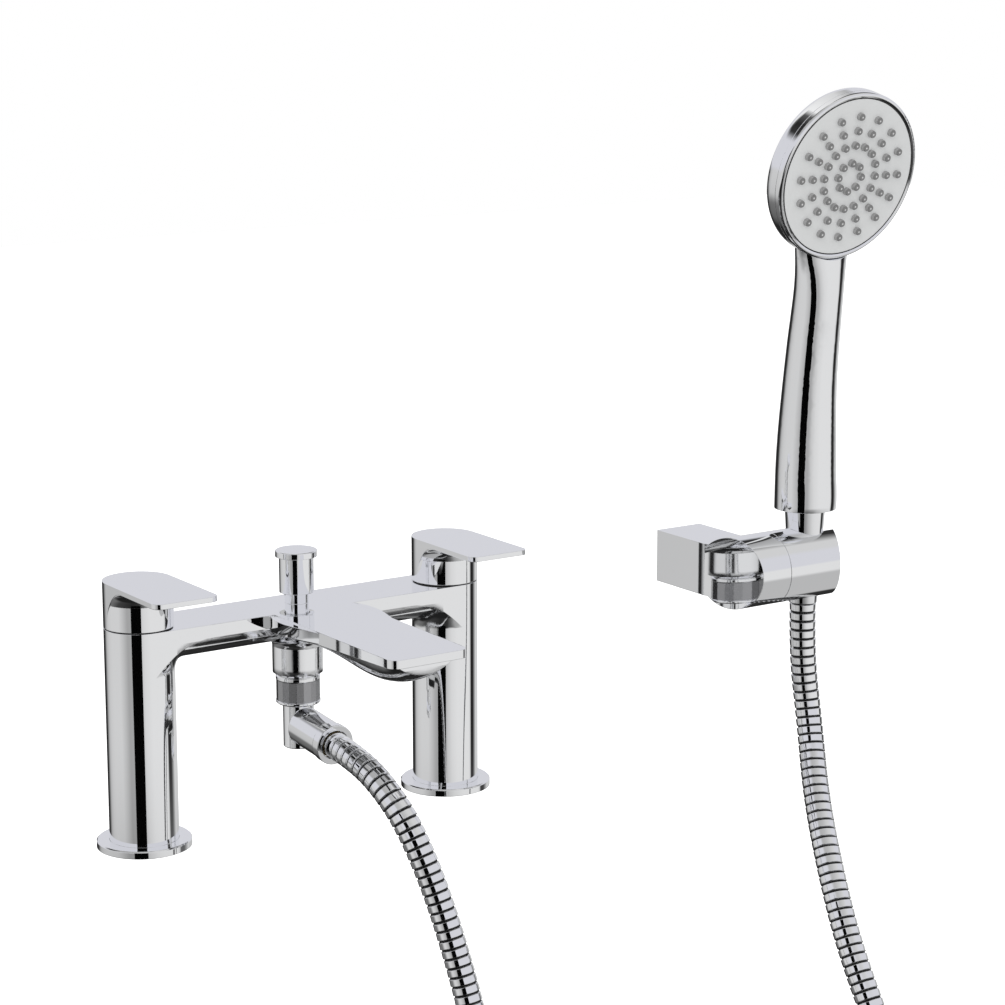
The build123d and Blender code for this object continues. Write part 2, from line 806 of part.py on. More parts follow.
# Shower hose: a ribbed metal cover round a plain bore, hung as one loop from the elbow to the holder
branch_direction = branch_plane.z_dir
hose_exit = branch_plane.origin + branch_direction * hose_start
hose_route = [
    tuple(hose_exit),
    tuple(hose_exit + branch_direction * hose_first_run),
    (3.0, -77, 35),
    (8.5, -95, 16),
    (16.5, -111.5, -22),
    (23.5, -130, -78),
    (26.5, -153, -150),
    (26, -177, -228),
    (31, -200, -306),
    (48, -223, -380),
    (86, -245, -431),
    (146, -260, -438),
    (193, -269, -400),
    (218, -271, -326),
    (222, -263, -235),
    (215, -248, -157),
    (208, -222, -96),
    (208.5, -194.5, -56),
    (214, -172, -22),
    (223, -149.5, 9),
    (233.2, -131, 43),
    (handset_x, swivel_y, cone_foot - hose_last_run),
    (handset_x, swivel_y, cone_foot),
]


def turn_at(points, index):
    """The angle by which a route turns at one of its points."""
    before = points[index] - points[index - 1]
    after = points[index + 1] - points[index]
    return before.get_angle(after)


route_points = [Vector(*point) for point in hose_route]
run_lengths = [(b - a).length for a, b in zip(route_points, route_points[1:])]
bend_radii = [
    run_share * min(run_lengths[i - 1], run_lengths[i]) / math.tan(math.radians(turn_at(route_points, i)) / 2)
    for i in range(1, len(route_points) - 1)
]
print("hose bend radii", [round(radius) for radius in bend_radii])
with BuildLine() as hose_path:
    FilletPolyline(*hose_route, radius=bend_radii)
hose_wire = hose_path.wire()
hose_length = hose_wire.length
print("hose length", round(hose_length, 1), "straight runs", round(sum(run_lengths), 1))

with BuildPart() as shower_hose:
    with BuildSketch(branch_plane.offset(hose_start)):
        Circle(hose_diameter / 2)
        Circle(hose_bore / 2, mode=Mode.SUBTRACT)
    sweep(path=hose_wire)
hose_section = math.pi * ((hose_diameter / 2) ** 2 - (hose_bore / 2) ** 2)
print("hose volume", round(shower_hose.part.volume), "section times length", round(hose_section * hose_length))
write(shower_hose.part, "shower_hose")

# Wall bracket: a block on the wall whose front end is half of the swivelling cylinder
block_x = bracket_left + bracket_width / 2
pivot_screw_x = swivel_seam - spigot_groove_start - spigot_groove_width / 2
groove_floor = spigot_radius - spigot_groove_depth
swivel_axis = Plane(origin=(0, swivel_y, swivel_z), x_dir=(0, 1, 0), z_dir=(1, 0, 0))
end_slope = math.tan(math.radians(swivel_end_angle))


def end_cut(x_at_axis, side):
    """A wedge that cuts the cylinder's end off at its slant: side is -1 on the left, 1 on the right."""
    with BuildPart() as wedge:
        with BuildSketch(Plane.XY.offset(swivel_z - 2 * swivel_radius)):
            with BuildLine():
                reach = 2 * swivel_radius
                Polyline(
                    (x_at_axis + side * reach * end_slope, swivel_y + reach),
                    (x_at_axis - side * reach * end_slope, swivel_y - reach),
                    (x_at_axis + side * 2 * reach, swivel_y - reach),
                    (x_at_axis + side * 2 * reach, swivel_y + reach),
                    close=True,
                )
            make_face()
        extrude(amount=4 * swivel_radius)
    return wedge.part


bracket_end_x = bracket_left + bracket_end_step
with BuildPart() as bracket_body:
    with Locations((block_x, (bracket_wall_y + swivel_y) / 2, swivel_z)):
        Box(bracket_width, bracket_wall_y - swivel_y, bracket_tall)
    with BuildSketch(swivel_axis.offset(bracket_left)):
        Circle(swivel_radius)
    extrude(amount=swivel_seam - swivel_seam_gap / 2 - bracket_left)
    add(end_cut(bracket_end_x, -1), mode=Mode.SUBTRACT)
    with Locations((block_x, bracket_wall_y - wall_pocket_depth / 2, swivel_z)):
        Box(
            bracket_width - 2 * bracket_wall,
            wall_pocket_depth,
            bracket_tall - 2 * bracket_wall,
            mode=Mode.SUBTRACT,
        )
    with BuildSketch(swivel_axis.offset(swivel_seam)):
        Circle(spigot_radius + spigot_fit)
    extrude(amount=-spigot_length - spigot_fit, mode=Mode.SUBTRACT)
    with BuildSketch(Plane.XY.offset(swivel_z - swivel_radius)):
        with Locations((pivot_screw_x, swivel_y)):
            Circle(pivot_screw_radius)
    extrude(amount=swivel_radius, mode=Mode.SUBTRACT)
    with BuildSketch(Plane.XY.offset(swivel_z - bracket_tall / 2)):
        with Locations((block_x, bracket_wall_y - lock_screw_inset)):
            Circle(lock_screw_radius)
    extrude(amount=2 * bracket_wall, mode=Mode.SUBTRACT)
write(bracket_body.part, "bracket_body")

# Wall plate that the bracket slides onto, with the two holes for the wall's screws
plate_half_tall = bracket_tall / 2 - bracket_wall - wall_plate_fit
with BuildPart() as wall_plate:
    with Locations((block_x, bracket_wall_y - wall_plate_thickness / 2, swivel_z)):
        Box(
            2 * (bracket_width / 2 - bracket_wall - wall_plate_fit),
            wall_plate_thickness,
            2 * plate_half_tall,
        )
    with Locations((block_x, bracket_wall_y - wall_boss_depth / 2, swivel_z)):
        Box(wall_boss_width, wall_boss_depth, 2 * plate_half_tall)
    with BuildSketch(Plane.XZ.offset(-bracket_wall_y)):
        with Locations((block_x, swivel_z)):
            with GridLocations(0, wall_screw_spacing, 1, 2):
                Circle(wall_screw_radius)
    extrude(amount=wall_boss_depth, mode=Mode.SUBTRACT)
    with BuildSketch(Plane.XY.offset(swivel_z - plate_half_tall)):
        with Locations((block_x, bracket_wall_y - lock_screw_inset)):
            Circle(lock_screw_radius)
    lock_screw_head = swivel_z - bracket_tall / 2 + lock_screw_sink
    extrude(amount=lock_screw_head + lock_screw_length - swivel_z + plate_half_tall, mode=Mode.SUBTRACT)
write(wall_plate.part, "wall_plate")


def grub_screw(name, x_at, y_at, foot, length, radius):
    """A headless screw, standing on Z, with a hexagon socket in its foot."""
    with BuildPart() as screw:
        with BuildSketch(Plane.XY.offset(foot)):
            with Locations((x_at, y_at)):
                Circle(radius)
                RegularPolygon(hex_socket / 2, 6, major_radius=False, mode=Mode.SUBTRACT)
        extrude(amount=hex_socket_depth)
        with BuildSketch(Plane.XY.offset(foot + hex_socket_depth)):
            with Locations((x_at, y_at)):
                Circle(radius)
        extrude(amount=length - hex_socket_depth)
    write(screw.part, name)


grub_screw(
    "bracket_lock_screw",
    block_x,
    bracket_wall_y - lock_screw_inset,
    lock_screw_head,
    lock_screw_length,
    lock_screw_radius,
)
pivot_screw_foot = swivel_z - swivel_radius + pivot_screw_sink
pivot_screw_length = swivel_radius - pivot_screw_sink - groove_floor - pivot_screw_gap
grub_screw(
    "swivel_pivot_screw",
    pivot_screw_x,
    swivel_y,
    pivot_screw_foot,
    pivot_screw_length,
    pivot_screw_radius,
)

# Swivelling holder: the other half of the cylinder, with its spigot and the open conical socket
cone_slope = (cone_top_radius - cone_foot_radius) / (cone_top - cone_foot)
socket_foot = swivel_z - swivel_radius - spigot_fit
socket_top = swivel_z + swivel_radius + spigot_fit
with BuildPart() as swivel_holder:
    with BuildSketch(swivel_axis.offset(swivel_seam + swivel_seam_gap / 2)):
        Circle(swivel_radius)
    extrude(amount=holder_end + swivel_radius * end_slope - swivel_seam)
    add(end_cut(holder_end, 1), mode=Mode.SUBTRACT)
    with BuildSketch(swivel_axis.offset(swivel_seam - spigot_length)):
        Circle(spigot_radius)
    extrude(amount=spigot_length + swivel_seam_gap)
    for start, width, floor in (
        (spigot_groove_start, spigot_groove_width, groove_floor),
        (spigot_ring_start, spigot_ring_width, groove_floor),
    ):
        with BuildSketch(swivel_axis.offset(swivel_seam - start - width)):
            Circle(spigot_radius + spigot_fit)
            Circle(floor, mode=Mode.SUBTRACT)
        extrude(amount=width, mode=Mode.SUBTRACT)
    with BuildSketch(Plane.XY.offset(socket_foot)):
        with Locations((handset_x, swivel_y)):
            Circle(cone_foot_radius + cone_slope * (socket_foot - cone_foot) + cone_seat_gap)
    with BuildSketch(Plane.XY.offset(socket_top)):
        with Locations((handset_x, swivel_y)):
            Circle(cone_foot_radius + cone_slope * (socket_top - cone_foot) + cone_seat_gap)
    loft(mode=Mode.SUBTRACT)
    with Locations((handset_x + swivel_radius, swivel_y, swivel_z)):
        Box(2 * swivel_radius, holder_slot_width, 3 * swivel_radius, mode=Mode.SUBTRACT)
print("holder", swivel_holder.part.is_valid, len(swivel_holder.part.solids()))
write(swivel_holder.part, "swivel_holder")

with BuildPart() as swivel_friction_ring:
    with BuildSketch(swivel_axis.offset(swivel_seam - spigot_ring_start - spigot_ring_width)):
        Circle(spigot_radius)
        Circle(groove_floor, mode=Mode.SUBTRACT)
    extrude(amount=spigot_ring_width)
write(swivel_friction_ring.part, "swivel_friction_ring")

# Hose cone: the nut that seats in the holder, the ferrule inside it and the handset's inlet
thread_foot = cone_top - cone_thread_depth - handset_washer_thickness
with BuildPart() as hose_cone_nut:
    with BuildSketch(Plane.XY.offset(cone_foot)):
        with Locations((handset_x, swivel_y)):
            Circle(cone_foot_radius)
    with BuildSketch(Plane.XY.offset(cone_top - cone_seat_gap)):
        with Locations((handset_x, swivel_y)):
            Circle(cone_top_radius - cone_slope * cone_seat_gap)
    loft()
    with BuildSketch(Plane.XY.offset(cone_foot)):
        with Locations((handset_x, swivel_y)):
            Circle(cone_bore)
    extrude(amount=thread_foot - cone_foot, mode=Mode.SUBTRACT)
    with BuildSketch(Plane.XY.offset(thread_foot)):
        with Locations((handset_x, swivel_y)):
            Circle(cone_thread_radius)
    extrude(amount=cone_top - thread_foot, mode=Mode.SUBTRACT)
write(hose_cone_nut.part, "hose_cone_nut")

washer_seat = thread_foot + ferrule_flange_thickness
insert_foot = washer_seat + handset_washer_thickness
with BuildPart() as handset_ferrule:
    with BuildSketch(Plane.XY.offset(cone_foot)):
        with Locations((handset_x, swivel_y)):
            Circle(cone_bore)
            Circle(handset_ferrule_bore, mode=Mode.SUBTRACT)
    extrude(amount=thread_foot - cone_foot)
    with BuildSketch(Plane.XY.offset(thread_foot)):
        with Locations((handset_x, swivel_y)):
            Circle(inlet_insert_radius)
            Circle(handset_ferrule_bore, mode=Mode.SUBTRACT)
    extrude(amount=ferrule_flange_thickness)
write(handset_ferrule.part, "handset_ferrule")


def handset_ring(name, foot, height, outer, inner):
    """A plain ring round the handset's own axis."""
    with BuildPart() as ring:
        with BuildSketch(Plane.XY.offset(foot)):
            with Locations((handset_x, swivel_y)):
                Circle(outer)
                Circle(inner, mode=Mode.SUBTRACT)
        extrude(amount=height)
    write(ring.part, name)


insert_top = insert_foot + inlet_insert_length
limiter_foot = cone_top + limiter_gap
handset_ring(
    "handset_washer", washer_seat, handset_washer_thickness, inlet_insert_radius, handset_ferrule_bore
)
handset_ring("handset_inlet_insert", insert_foot, inlet_insert_length, inlet_insert_radius, inlet_insert_bore)
handset_ring("flow_limiter", limiter_foot, limiter_length, inlet_insert_bore, limiter_bore)

# Handset body: the handle's sections, then the head turned on the face's own axis
face_cos = math.cos(math.radians(face_tilt))
face_sin = math.sin(math.radians(face_tilt))
face_centre = (handset_x, face_y, face_z)
face_plane = Plane(origin=face_centre, x_dir=(1, 0, 0), z_dir=(0, -face_cos, -face_sin))
turning_plane = Plane(origin=face_centre, x_dir=(1, 0, 0), z_dir=(0, face_sin, -face_cos))
face_axis = Axis(face_centre, (0, -face_cos, -face_sin))
drum_back = drum_depth + drum_dome
stations = list(zip(handle_heights, handle_leans, handle_half_widths, handle_half_depths))
with BuildPart() as handset_body:
    for height, lean, half_width, half_depth in stations:
        with BuildSketch(Plane.XY.offset(cone_top + height)):
            with Locations((handset_x, swivel_y - lean)):
                Ellipse(half_width, half_depth)
    loft()
    with BuildSketch(turning_plane):
        with BuildLine():
            Line((0, -rim_depth), (face_radius, -rim_depth))
            Line((face_radius, -rim_depth), (face_radius, -drum_depth + drum_back_round))
            Spline(
                (face_radius, -drum_depth + drum_back_round),
                (face_radius * drum_shoulder_share, -drum_depth - drum_back_round * drum_shoulder_share),
                (drum_neck_radius, -drum_back + drum_crown),
                (0, -drum_back),
                tangents=((0, -1), (-1, 0)),
            )
            Line((0, -drum_back), (0, -rim_depth))
        make_face()
    revolve(axis=face_axis)
    with BuildSketch(face_plane.offset(-rim_depth)):
        Circle(face_radius + seat_gap)
    extrude(amount=2 * drum_depth, mode=Mode.SUBTRACT)
    with BuildSketch(face_plane.offset(-rim_depth)):
        Circle(head_cavity_radius)
    extrude(amount=-head_cavity_depth, mode=Mode.SUBTRACT)
    with BuildSketch(Plane.XY.offset(cone_top)):
        with Locations((handset_x, swivel_y)):
            Circle(inlet_insert_radius)
    extrude(amount=insert_top - cone_top, mode=Mode.SUBTRACT)
    for height, lean in ((insert_top - cone_top, 0.0), *[(row[0], row[1]) for row in stations[3:11]]):
        with BuildSketch(Plane.XY.offset(cone_top + height)):
            with Locations((handset_x, swivel_y - lean)):
                Circle(waterway_radius)
    loft(mode=Mode.SUBTRACT)
    with BuildSketch(face_plane.offset(-rim_depth - head_cavity_depth)):
        with Locations((0, waterway_port_drop)):
            Circle(waterway_port_radius)
    extrude(amount=-waterway_port_depth, mode=Mode.SUBTRACT)
print("handset", handset_body.part.is_valid, len(handset_body.part.solids()), round(handset_body.part.volume))
write(handset_body.part, "handset_body")

# Head rim, spray plate with its nozzle mat, distributor and seal
with BuildPart() as head_rim:
    with BuildSketch(turning_plane):
        with BuildLine():
            Line((face_radius - rim_width, -rim_depth), (face_radius, -rim_depth))
            Line((face_radius, -rim_depth), (face_radius, -rim_height))
            RadiusArc((face_radius, -rim_height), (face_radius - rim_height, 0), -rim_height)
            Line((face_radius - rim_height, 0), (face_radius - rim_width, -rim_bevel))
            Line((face_radius - rim_width, -rim_bevel), (face_radius - rim_width, -rim_depth))
        make_face()
    revolve(axis=face_axis)
write(head_rim.part, "head_rim")

plate_radius = face_radius - rim_width - plate_gap
plate_front = -rim_bevel
mat_front = plate_front - plate_thickness
nozzle_places = [
    (
        face_radius * share * math.cos(2 * math.pi * spoke / nozzle_spokes),
        face_radius * share * math.sin(2 * math.pi * spoke / nozzle_spokes),
    )
    for share in nozzle_ring_shares
    for spoke in range(nozzle_spokes)
] + [
    (
        face_radius * inner_ring_share * math.cos(2 * math.pi * spoke / inner_nozzles),
        face_radius * inner_ring_share * math.sin(2 * math.pi * spoke / inner_nozzles),
    )
    for spoke in range(inner_nozzles)
]
with BuildPart() as spray_plate:
    with BuildSketch(face_plane.offset(mat_front)):
        Circle(plate_radius)
        with Locations(*nozzle_places):
            Circle(nozzle_radius, mode=Mode.SUBTRACT)
    extrude(amount=plate_thickness)
write(spray_plate.part, "spray_plate")

mat_radius = head_cavity_radius - head_seal_width
with BuildPart() as nozzle_mat:
    with BuildSketch(face_plane.offset(mat_front)):
        Circle(head_cavity_radius)
    extrude(amount=-nozzle_mat_thickness)
    with BuildSketch(face_plane.offset(mat_front)):
        with Locations(*nozzle_places):
            Circle(nozzle_radius)
    extrude(amount=plate_thickness + nozzle_height)
write(nozzle_mat.part, "nozzle_mat")

distributor_front = mat_front - nozzle_mat_thickness
with BuildPart() as distributor:
    with BuildSketch(face_plane.offset(distributor_front)):
        Circle(mat_radius)
        with PolarLocations(mat_radius * distributor_slot_share, distributor_slots):
            Circle(distributor_slot_radius, mode=Mode.SUBTRACT)
    extrude(amount=-distributor_thickness)
write(distributor.part, "distributor_disc")

with BuildPart() as head_seal:
    with BuildSketch(face_plane.offset(distributor_front)):
        Circle(head_cavity_radius)
        Circle(mat_radius, mode=Mode.SUBTRACT)
    extrude(amount=-distributor_thickness)
write(head_seal.part, "head_seal")
print("nozzles", len(nozzle_places))
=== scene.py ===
"""Looks of the bath shower mixer: polished chrome, ribbed hose, spray head and studio."""

import json
import math

import bmesh
import bpy
from mathutils import Matrix, Vector


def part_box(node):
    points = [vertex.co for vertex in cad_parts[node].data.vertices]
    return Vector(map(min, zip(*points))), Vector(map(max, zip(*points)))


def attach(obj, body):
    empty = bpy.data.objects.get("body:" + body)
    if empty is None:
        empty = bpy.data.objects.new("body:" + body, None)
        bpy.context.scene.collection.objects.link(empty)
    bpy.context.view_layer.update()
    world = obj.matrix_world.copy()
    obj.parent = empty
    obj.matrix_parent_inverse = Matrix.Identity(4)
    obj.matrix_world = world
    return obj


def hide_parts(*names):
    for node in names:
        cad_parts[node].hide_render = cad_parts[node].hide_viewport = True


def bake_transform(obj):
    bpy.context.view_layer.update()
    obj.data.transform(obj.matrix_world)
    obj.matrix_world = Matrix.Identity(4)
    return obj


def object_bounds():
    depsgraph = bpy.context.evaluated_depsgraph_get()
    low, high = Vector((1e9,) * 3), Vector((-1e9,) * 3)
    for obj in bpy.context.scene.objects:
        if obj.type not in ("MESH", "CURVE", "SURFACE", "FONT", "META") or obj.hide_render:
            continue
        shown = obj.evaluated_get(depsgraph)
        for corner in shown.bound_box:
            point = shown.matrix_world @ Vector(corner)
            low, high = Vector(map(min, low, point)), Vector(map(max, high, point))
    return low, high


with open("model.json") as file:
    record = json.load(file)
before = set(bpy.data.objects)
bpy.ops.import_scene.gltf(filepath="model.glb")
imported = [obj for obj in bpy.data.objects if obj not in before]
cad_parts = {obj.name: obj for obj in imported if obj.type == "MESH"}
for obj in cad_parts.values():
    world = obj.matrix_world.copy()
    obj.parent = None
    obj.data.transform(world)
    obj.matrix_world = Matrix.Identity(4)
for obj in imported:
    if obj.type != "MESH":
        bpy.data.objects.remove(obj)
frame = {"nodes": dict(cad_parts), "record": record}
nodes = frame["nodes"]
cad_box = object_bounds()
MM = 0.001

# Camera of the photograph, fitted to the pillars' 180 mm spacing
CAMERA_PLACE = Vector((-0.689199, -1.209014, 0.455668))
CAMERA_AZIMUTH = math.radians(34.026)
CAMERA_ELEVATION = math.radians(11.834)
CAMERA_LENS = 99.88
SENSOR = 36.0

# The hose: the route that the source gives its tube, and where it starts to follow the holder
HOSE_DIAMETER = 14 * MM
HOSE_START = Vector((0, -34.468, 45.984)) * MM
BRANCH_ANGLE = math.radians(5)
BRANCH_WAY = Vector((0, -math.cos(BRANCH_ANGLE), -math.sin(BRANCH_ANGLE)))
FIRST_RUN = 22 * MM
LAST_RUN = 28 * MM
CONE_FOOT = Vector((231.6, -125.25, 107)) * MM
HOSE_LOOP = [
    (3, -77, 35),
    (8.5, -95, 16),
    (16.5, -111.5, -22),
    (23.5, -130, -78),
    (26.5, -153, -150),
    (26, -177, -228),
    (31, -200, -306),
    (48, -223, -380),
    (86, -245, -431),
    (146, -260, -438),
    (193, -269, -400),
    (218, -271, -326),
    (222, -263, -235),
    (215, -248, -157),
    (208, -222, -96),
    (208.5, -194.5, -56),
    (214, -172, -22),
    (223, -149.5, 9),
    (233.2, -131, 43),
]
# The cover's bands: how far apart and how deep, and each ring's place in one band
RIB_PITCH = 4.75 * MM
RIB_RISE = 0.75 * MM
RIB_CONE = 0.15 * MM
RIB_SIDES = 24
RIB_BAND = [(0.05, -RIB_RISE), (0.1, -RIB_CONE), (0.81, 0.0), (0.86, -RIB_RISE)]
STEADY_AXIS = Vector((0.55, 0.83, 0)).normalized()

# Polished edges are broken by this much, in the shading only, and wipe marks are this strong
EDGE_ROUND = 0.35 * MM
EDGE_SAMPLES = 12
WIPE_DEPTH = 0.02
WIPE_BUMP = 0.2 * MM
GRAIN_BUMP = 0.1 * MM
# The casting's arches and belly are rounded more softly than its thin edges
BODY_SOFT = 4 * MM
BODY_SOFT_FROM = 70 * MM
BODY_SOFT_TO = 105.5 * MM
BODY_SOFT_REACH = 78 * MM
# The hollow round under each lever's root: it bites into the metal, and stays inside the sides
HUB_RADIUS = 17.45 * MM
LEVER_THICKNESS = 2.6 * MM
ROOT_RADIUS = 8 * MM
ROOT_BITE = 0.3 * MM
ROOT_INSET = 0.12 * MM
ROOT_STEPS = 80
ROOT_ARC_STEPS = 8
SAME_PLACE = 1e-6
# The same kind of hollow round where the outlet boss meets the casting
BOSS_RADIUS = 13.1 * MM
BOSS_TOP = 95 * MM
BOSS_ROUND = 4.2 * MM
# Turned pieces are lists of radius, height and material number, in millimetres.
# The union nut: a bevelled lip over and under a band of broad flat grips
NUT_GRIPS = 18
NUT_TURN = math.radians(5)
NUT_BAND = [(9.8, 61.6, 0), (11.35, 61.6, 0), (11.35, 73.0, 0), (9.8, 73.0, 0)]
NUT_LOWER_LIP = [
    (10.2, 60.0, 1),
    (10.9, 60.0, 1),
    (11.55, 60.6, 1),
    (11.55, 61.5, 1),
    (10.9, 62.1, 1),
    (9.8, 62.1, 1),
]
NUT_UPPER_LIP = [
    (9.8, 72.4, 1),
    (10.9, 72.4, 1),
    (11.55, 73.0, 1),
    (11.55, 74.5, 1),
    (10.9, 75.3, 1),
    (9.8, 75.3, 1),
]
NUT_SHARP = 15
# The elbow as the photograph shows it: an upright tube, and a branch that starts at its front
TURNED_SIDES = 64
ELBOW_TUBE = [
    (7.65, 36.6, 0),
    (8.05, 37.0, 0),
    (8.05, 62.6, 0),
    (9.2, 62.6, 0),
    (9.2, 64.6, 0),
    (5.2, 64.6, 0),
    (5.2, 56.0, 0),
]
BRANCH_FOOT = Vector((0, 0, 49)) * MM
ELBOW_BRANCH = [(9.6, 6.3, 0), (10.0, 6.7, 0), (10.0, 32.0, 0), (7.2, 32.0, 0), (7.2, 9.0, 0)]
# The bracket's left faces lean back a little, so they mirror what stands beside it.
# A face is a left one if its normal points this far to -X or further
BRACKET_LEAN = (0.05, 0.47)
LEFT_FACING = -0.5
# The spray head's face, and its nozzles: how many in each ring, and the ring's share of the face
FACE_CENTRE = Vector((231.6, -153.3, 329.6)) * MM
FACE_TILT = math.radians(13.9)
FACE_RADIUS = 43.3 * MM
NOZZLE_RINGS = [(16, 0.723), (16, 0.552), (16, 0.381), (8, 0.169)]
NOZZLE_SIDES = 12
# Each nozzle's rings: finish 0 is the silicone's grey wall, 1 the end, painted darker as shade, 2
# the mouth, painted pale as a highlight
NOZZLE_PROFILE = [
    (2.0, -0.8, 0),
    (2.0, -0.1, 0),
    (1.85, 1.4, 0),
    (1.55, 1.8, 1),
    (0.5, 1.8, 1),
    (0.45, 1.65, 2),
]
# The dark ring round the spray plate: painted shade, a black ring laid in the narrow gap between
# plate and rim
PLATE_EDGE = 40.7 * MM
PLATE_FRONT = -0.6 * MM
JOINT_WIDTH = 0.5 * MM
JOINT_OVERLAP = 0.1 * MM
JOINT_RISE = 0.08 * MM
JOINT_DEPTH = 0.3 * MM
JOINT_STEPS = 96
# The inner hose that shows under the cone nut when the hand shower is lifted
LINER_LENGTH = 26 * MM
LINER_SIDES = 24
LINER_PROFILE = [(6.1, height, 0) for height in (-LINER_LENGTH / MM, -20, -15, -10, -5, 0, 1.5)]


def hose_route():
    """The route's points, from the elbow down and round to the foot of the hose cone."""
    return [
        HOSE_START,
        HOSE_START + BRANCH_WAY * FIRST_RUN,
        *[Vector(point) * MM for point in HOSE_LOOP],
        CONE_FOOT - Vector((0, 0, LAST_RUN)),
        CONE_FOOT,
    ]


# Materials


def shader_group(name, inputs, outputs):
    """An empty node group. Inputs are given by name and default, outputs by name and kind."""
    group = bpy.data.node_groups.new(name, "ShaderNodeTree")
    for socket, default in inputs:
        made = group.interface.new_socket(socket, in_out="INPUT", socket_type="NodeSocketFloat")
        made.default_value = default
    for socket, kind in outputs:
        group.interface.new_socket(socket, in_out="OUTPUT", socket_type=kind)
    return group, group.nodes.new("NodeGroupInput"), group.nodes.new("NodeGroupOutput")


def polish_group():
    """Faint wipe marks and haze in a polished surface, and rounded edges, softer in one band."""
    group, given, out = shader_group(
        "polish_marks",
        [
            ("Roughness", 0.05),
            ("Haze", 0.03),
            ("Scale", 60.0),
            ("Depth", 0.02),
            ("Soft Round", 0.0),
            ("Soft From", 0.0),
            ("Soft To", 0.0),
            ("Soft Reach", 1.0),
        ],
        [("Roughness", "NodeSocketFloat"), ("Normal", "NodeSocketVector")],
    )
    new, link = group.nodes.new, group.links.new
    place = new("ShaderNodeTexCoord")
    haze = new("ShaderNodeTexNoise")
    haze.inputs["Detail"].default_value = 4.0
    link(place.outputs["Object"], haze.inputs["Vector"])
    link(given.outputs["Scale"], haze.inputs["Scale"])
    spread = new("ShaderNodeMath")
    spread.operation = "MULTIPLY_ADD"
    link(haze.outputs["Fac"], spread.inputs[0])
    link(given.outputs["Haze"], spread.inputs[1])
    link(given.outputs["Roughness"], spread.inputs[2])
    link(spread.outputs[0], out.inputs["Roughness"])
    bump = new("ShaderNodeBump")
    bump.inputs["Distance"].default_value = WIPE_BUMP
    parts = new("ShaderNodeSeparateXYZ")
    link(place.outputs["Object"], parts.inputs[0])
    over = new("ShaderNodeMath")
    over.operation = "GREATER_THAN"
    link(parts.outputs["Z"], over.inputs[0])
    link(given.outputs["Soft From"], over.inputs[1])
    under = new("ShaderNodeMath")
    under.operation = "LESS_THAN"
    link(parts.outputs["Z"], under.inputs[0])
    link(given.outputs["Soft To"], under.inputs[1])
    aside = new("ShaderNodeMath")
    aside.operation = "ABSOLUTE"
    link(parts.outputs["X"], aside.inputs[0])
    within = new("ShaderNodeMath")
    within.operation = "LESS_THAN"
    link(aside.outputs[0], within.inputs[0])
    link(given.outputs["Soft Reach"], within.inputs[1])
    storey = new("ShaderNodeMath")
    storey.operation = "MULTIPLY"
    link(over.outputs[0], storey.inputs[0])
    link(under.outputs[0], storey.inputs[1])
    band = new("ShaderNodeMath")
    band.operation = "MULTIPLY"
    link(storey.outputs[0], band.inputs[0])
    link(within.outputs[0], band.inputs[1])
    radius = new("ShaderNodeMath")
    radius.operation = "MULTIPLY_ADD"
    link(band.outputs[0], radius.inputs[0])
    link(given.outputs["Soft Round"], radius.inputs[1])
    radius.inputs[2].default_value = EDGE_ROUND
    edges = new("ShaderNodeBevel")
    edges.samples = EDGE_SAMPLES
    link(radius.outputs[0], edges.inputs["Radius"])
    link(edges.outputs["Normal"], bump.inputs["Normal"])
    link(given.outputs["Depth"], bump.inputs["Strength"])
    link(haze.outputs["Fac"], bump.inputs["Height"])
    link(bump.outputs["Normal"], out.inputs["Normal"])
    return group


def grain_group():
    """Fine grain of moulded plastic and rubber: colour a little uneven, a soft bump."""
    group, given, out = shader_group(
        "moulded_grain",
        [("Grain", 0.1), ("Scale", 900.0), ("Tone", 0.05)],
        [("Shade", "NodeSocketFloat"), ("Normal", "NodeSocketVector")],
    )
    new, link = group.nodes.new, group.links.new
    place = new("ShaderNodeTexCoord")
    grain = new("ShaderNodeTexNoise")
    grain.inputs["Detail"].default_value = 3.0
    link(place.outputs["Object"], grain.inputs["Vector"])
    link(given.outputs["Scale"], grain.inputs["Scale"])
    shade = new("ShaderNodeMath")
    shade.operation = "MULTIPLY_ADD"
    link(grain.outputs["Fac"], shade.inputs[0])
    link(given.outputs["Tone"], shade.inputs[1])
    shade.inputs[2].default_value = 1.0
    link(shade.outputs[0], out.inputs["Shade"])
    bump = new("ShaderNodeBump")
    bump.inputs["Distance"].default_value = GRAIN_BUMP
    link(given.outputs["Grain"], bump.inputs["Strength"])
    link(grain.outputs["Fac"], bump.inputs["Height"])
    link(bump.outputs["Normal"], out.inputs["Normal"])
    return group


polish = polish_group()
grain = grain_group()


def new_material(name):
    """A material, its surface shader and its node tree."""
    material = bpy.data.materials.new(name)
    material.use_nodes = True
    return material, material.node_tree.nodes["Principled BSDF"], material.node_tree


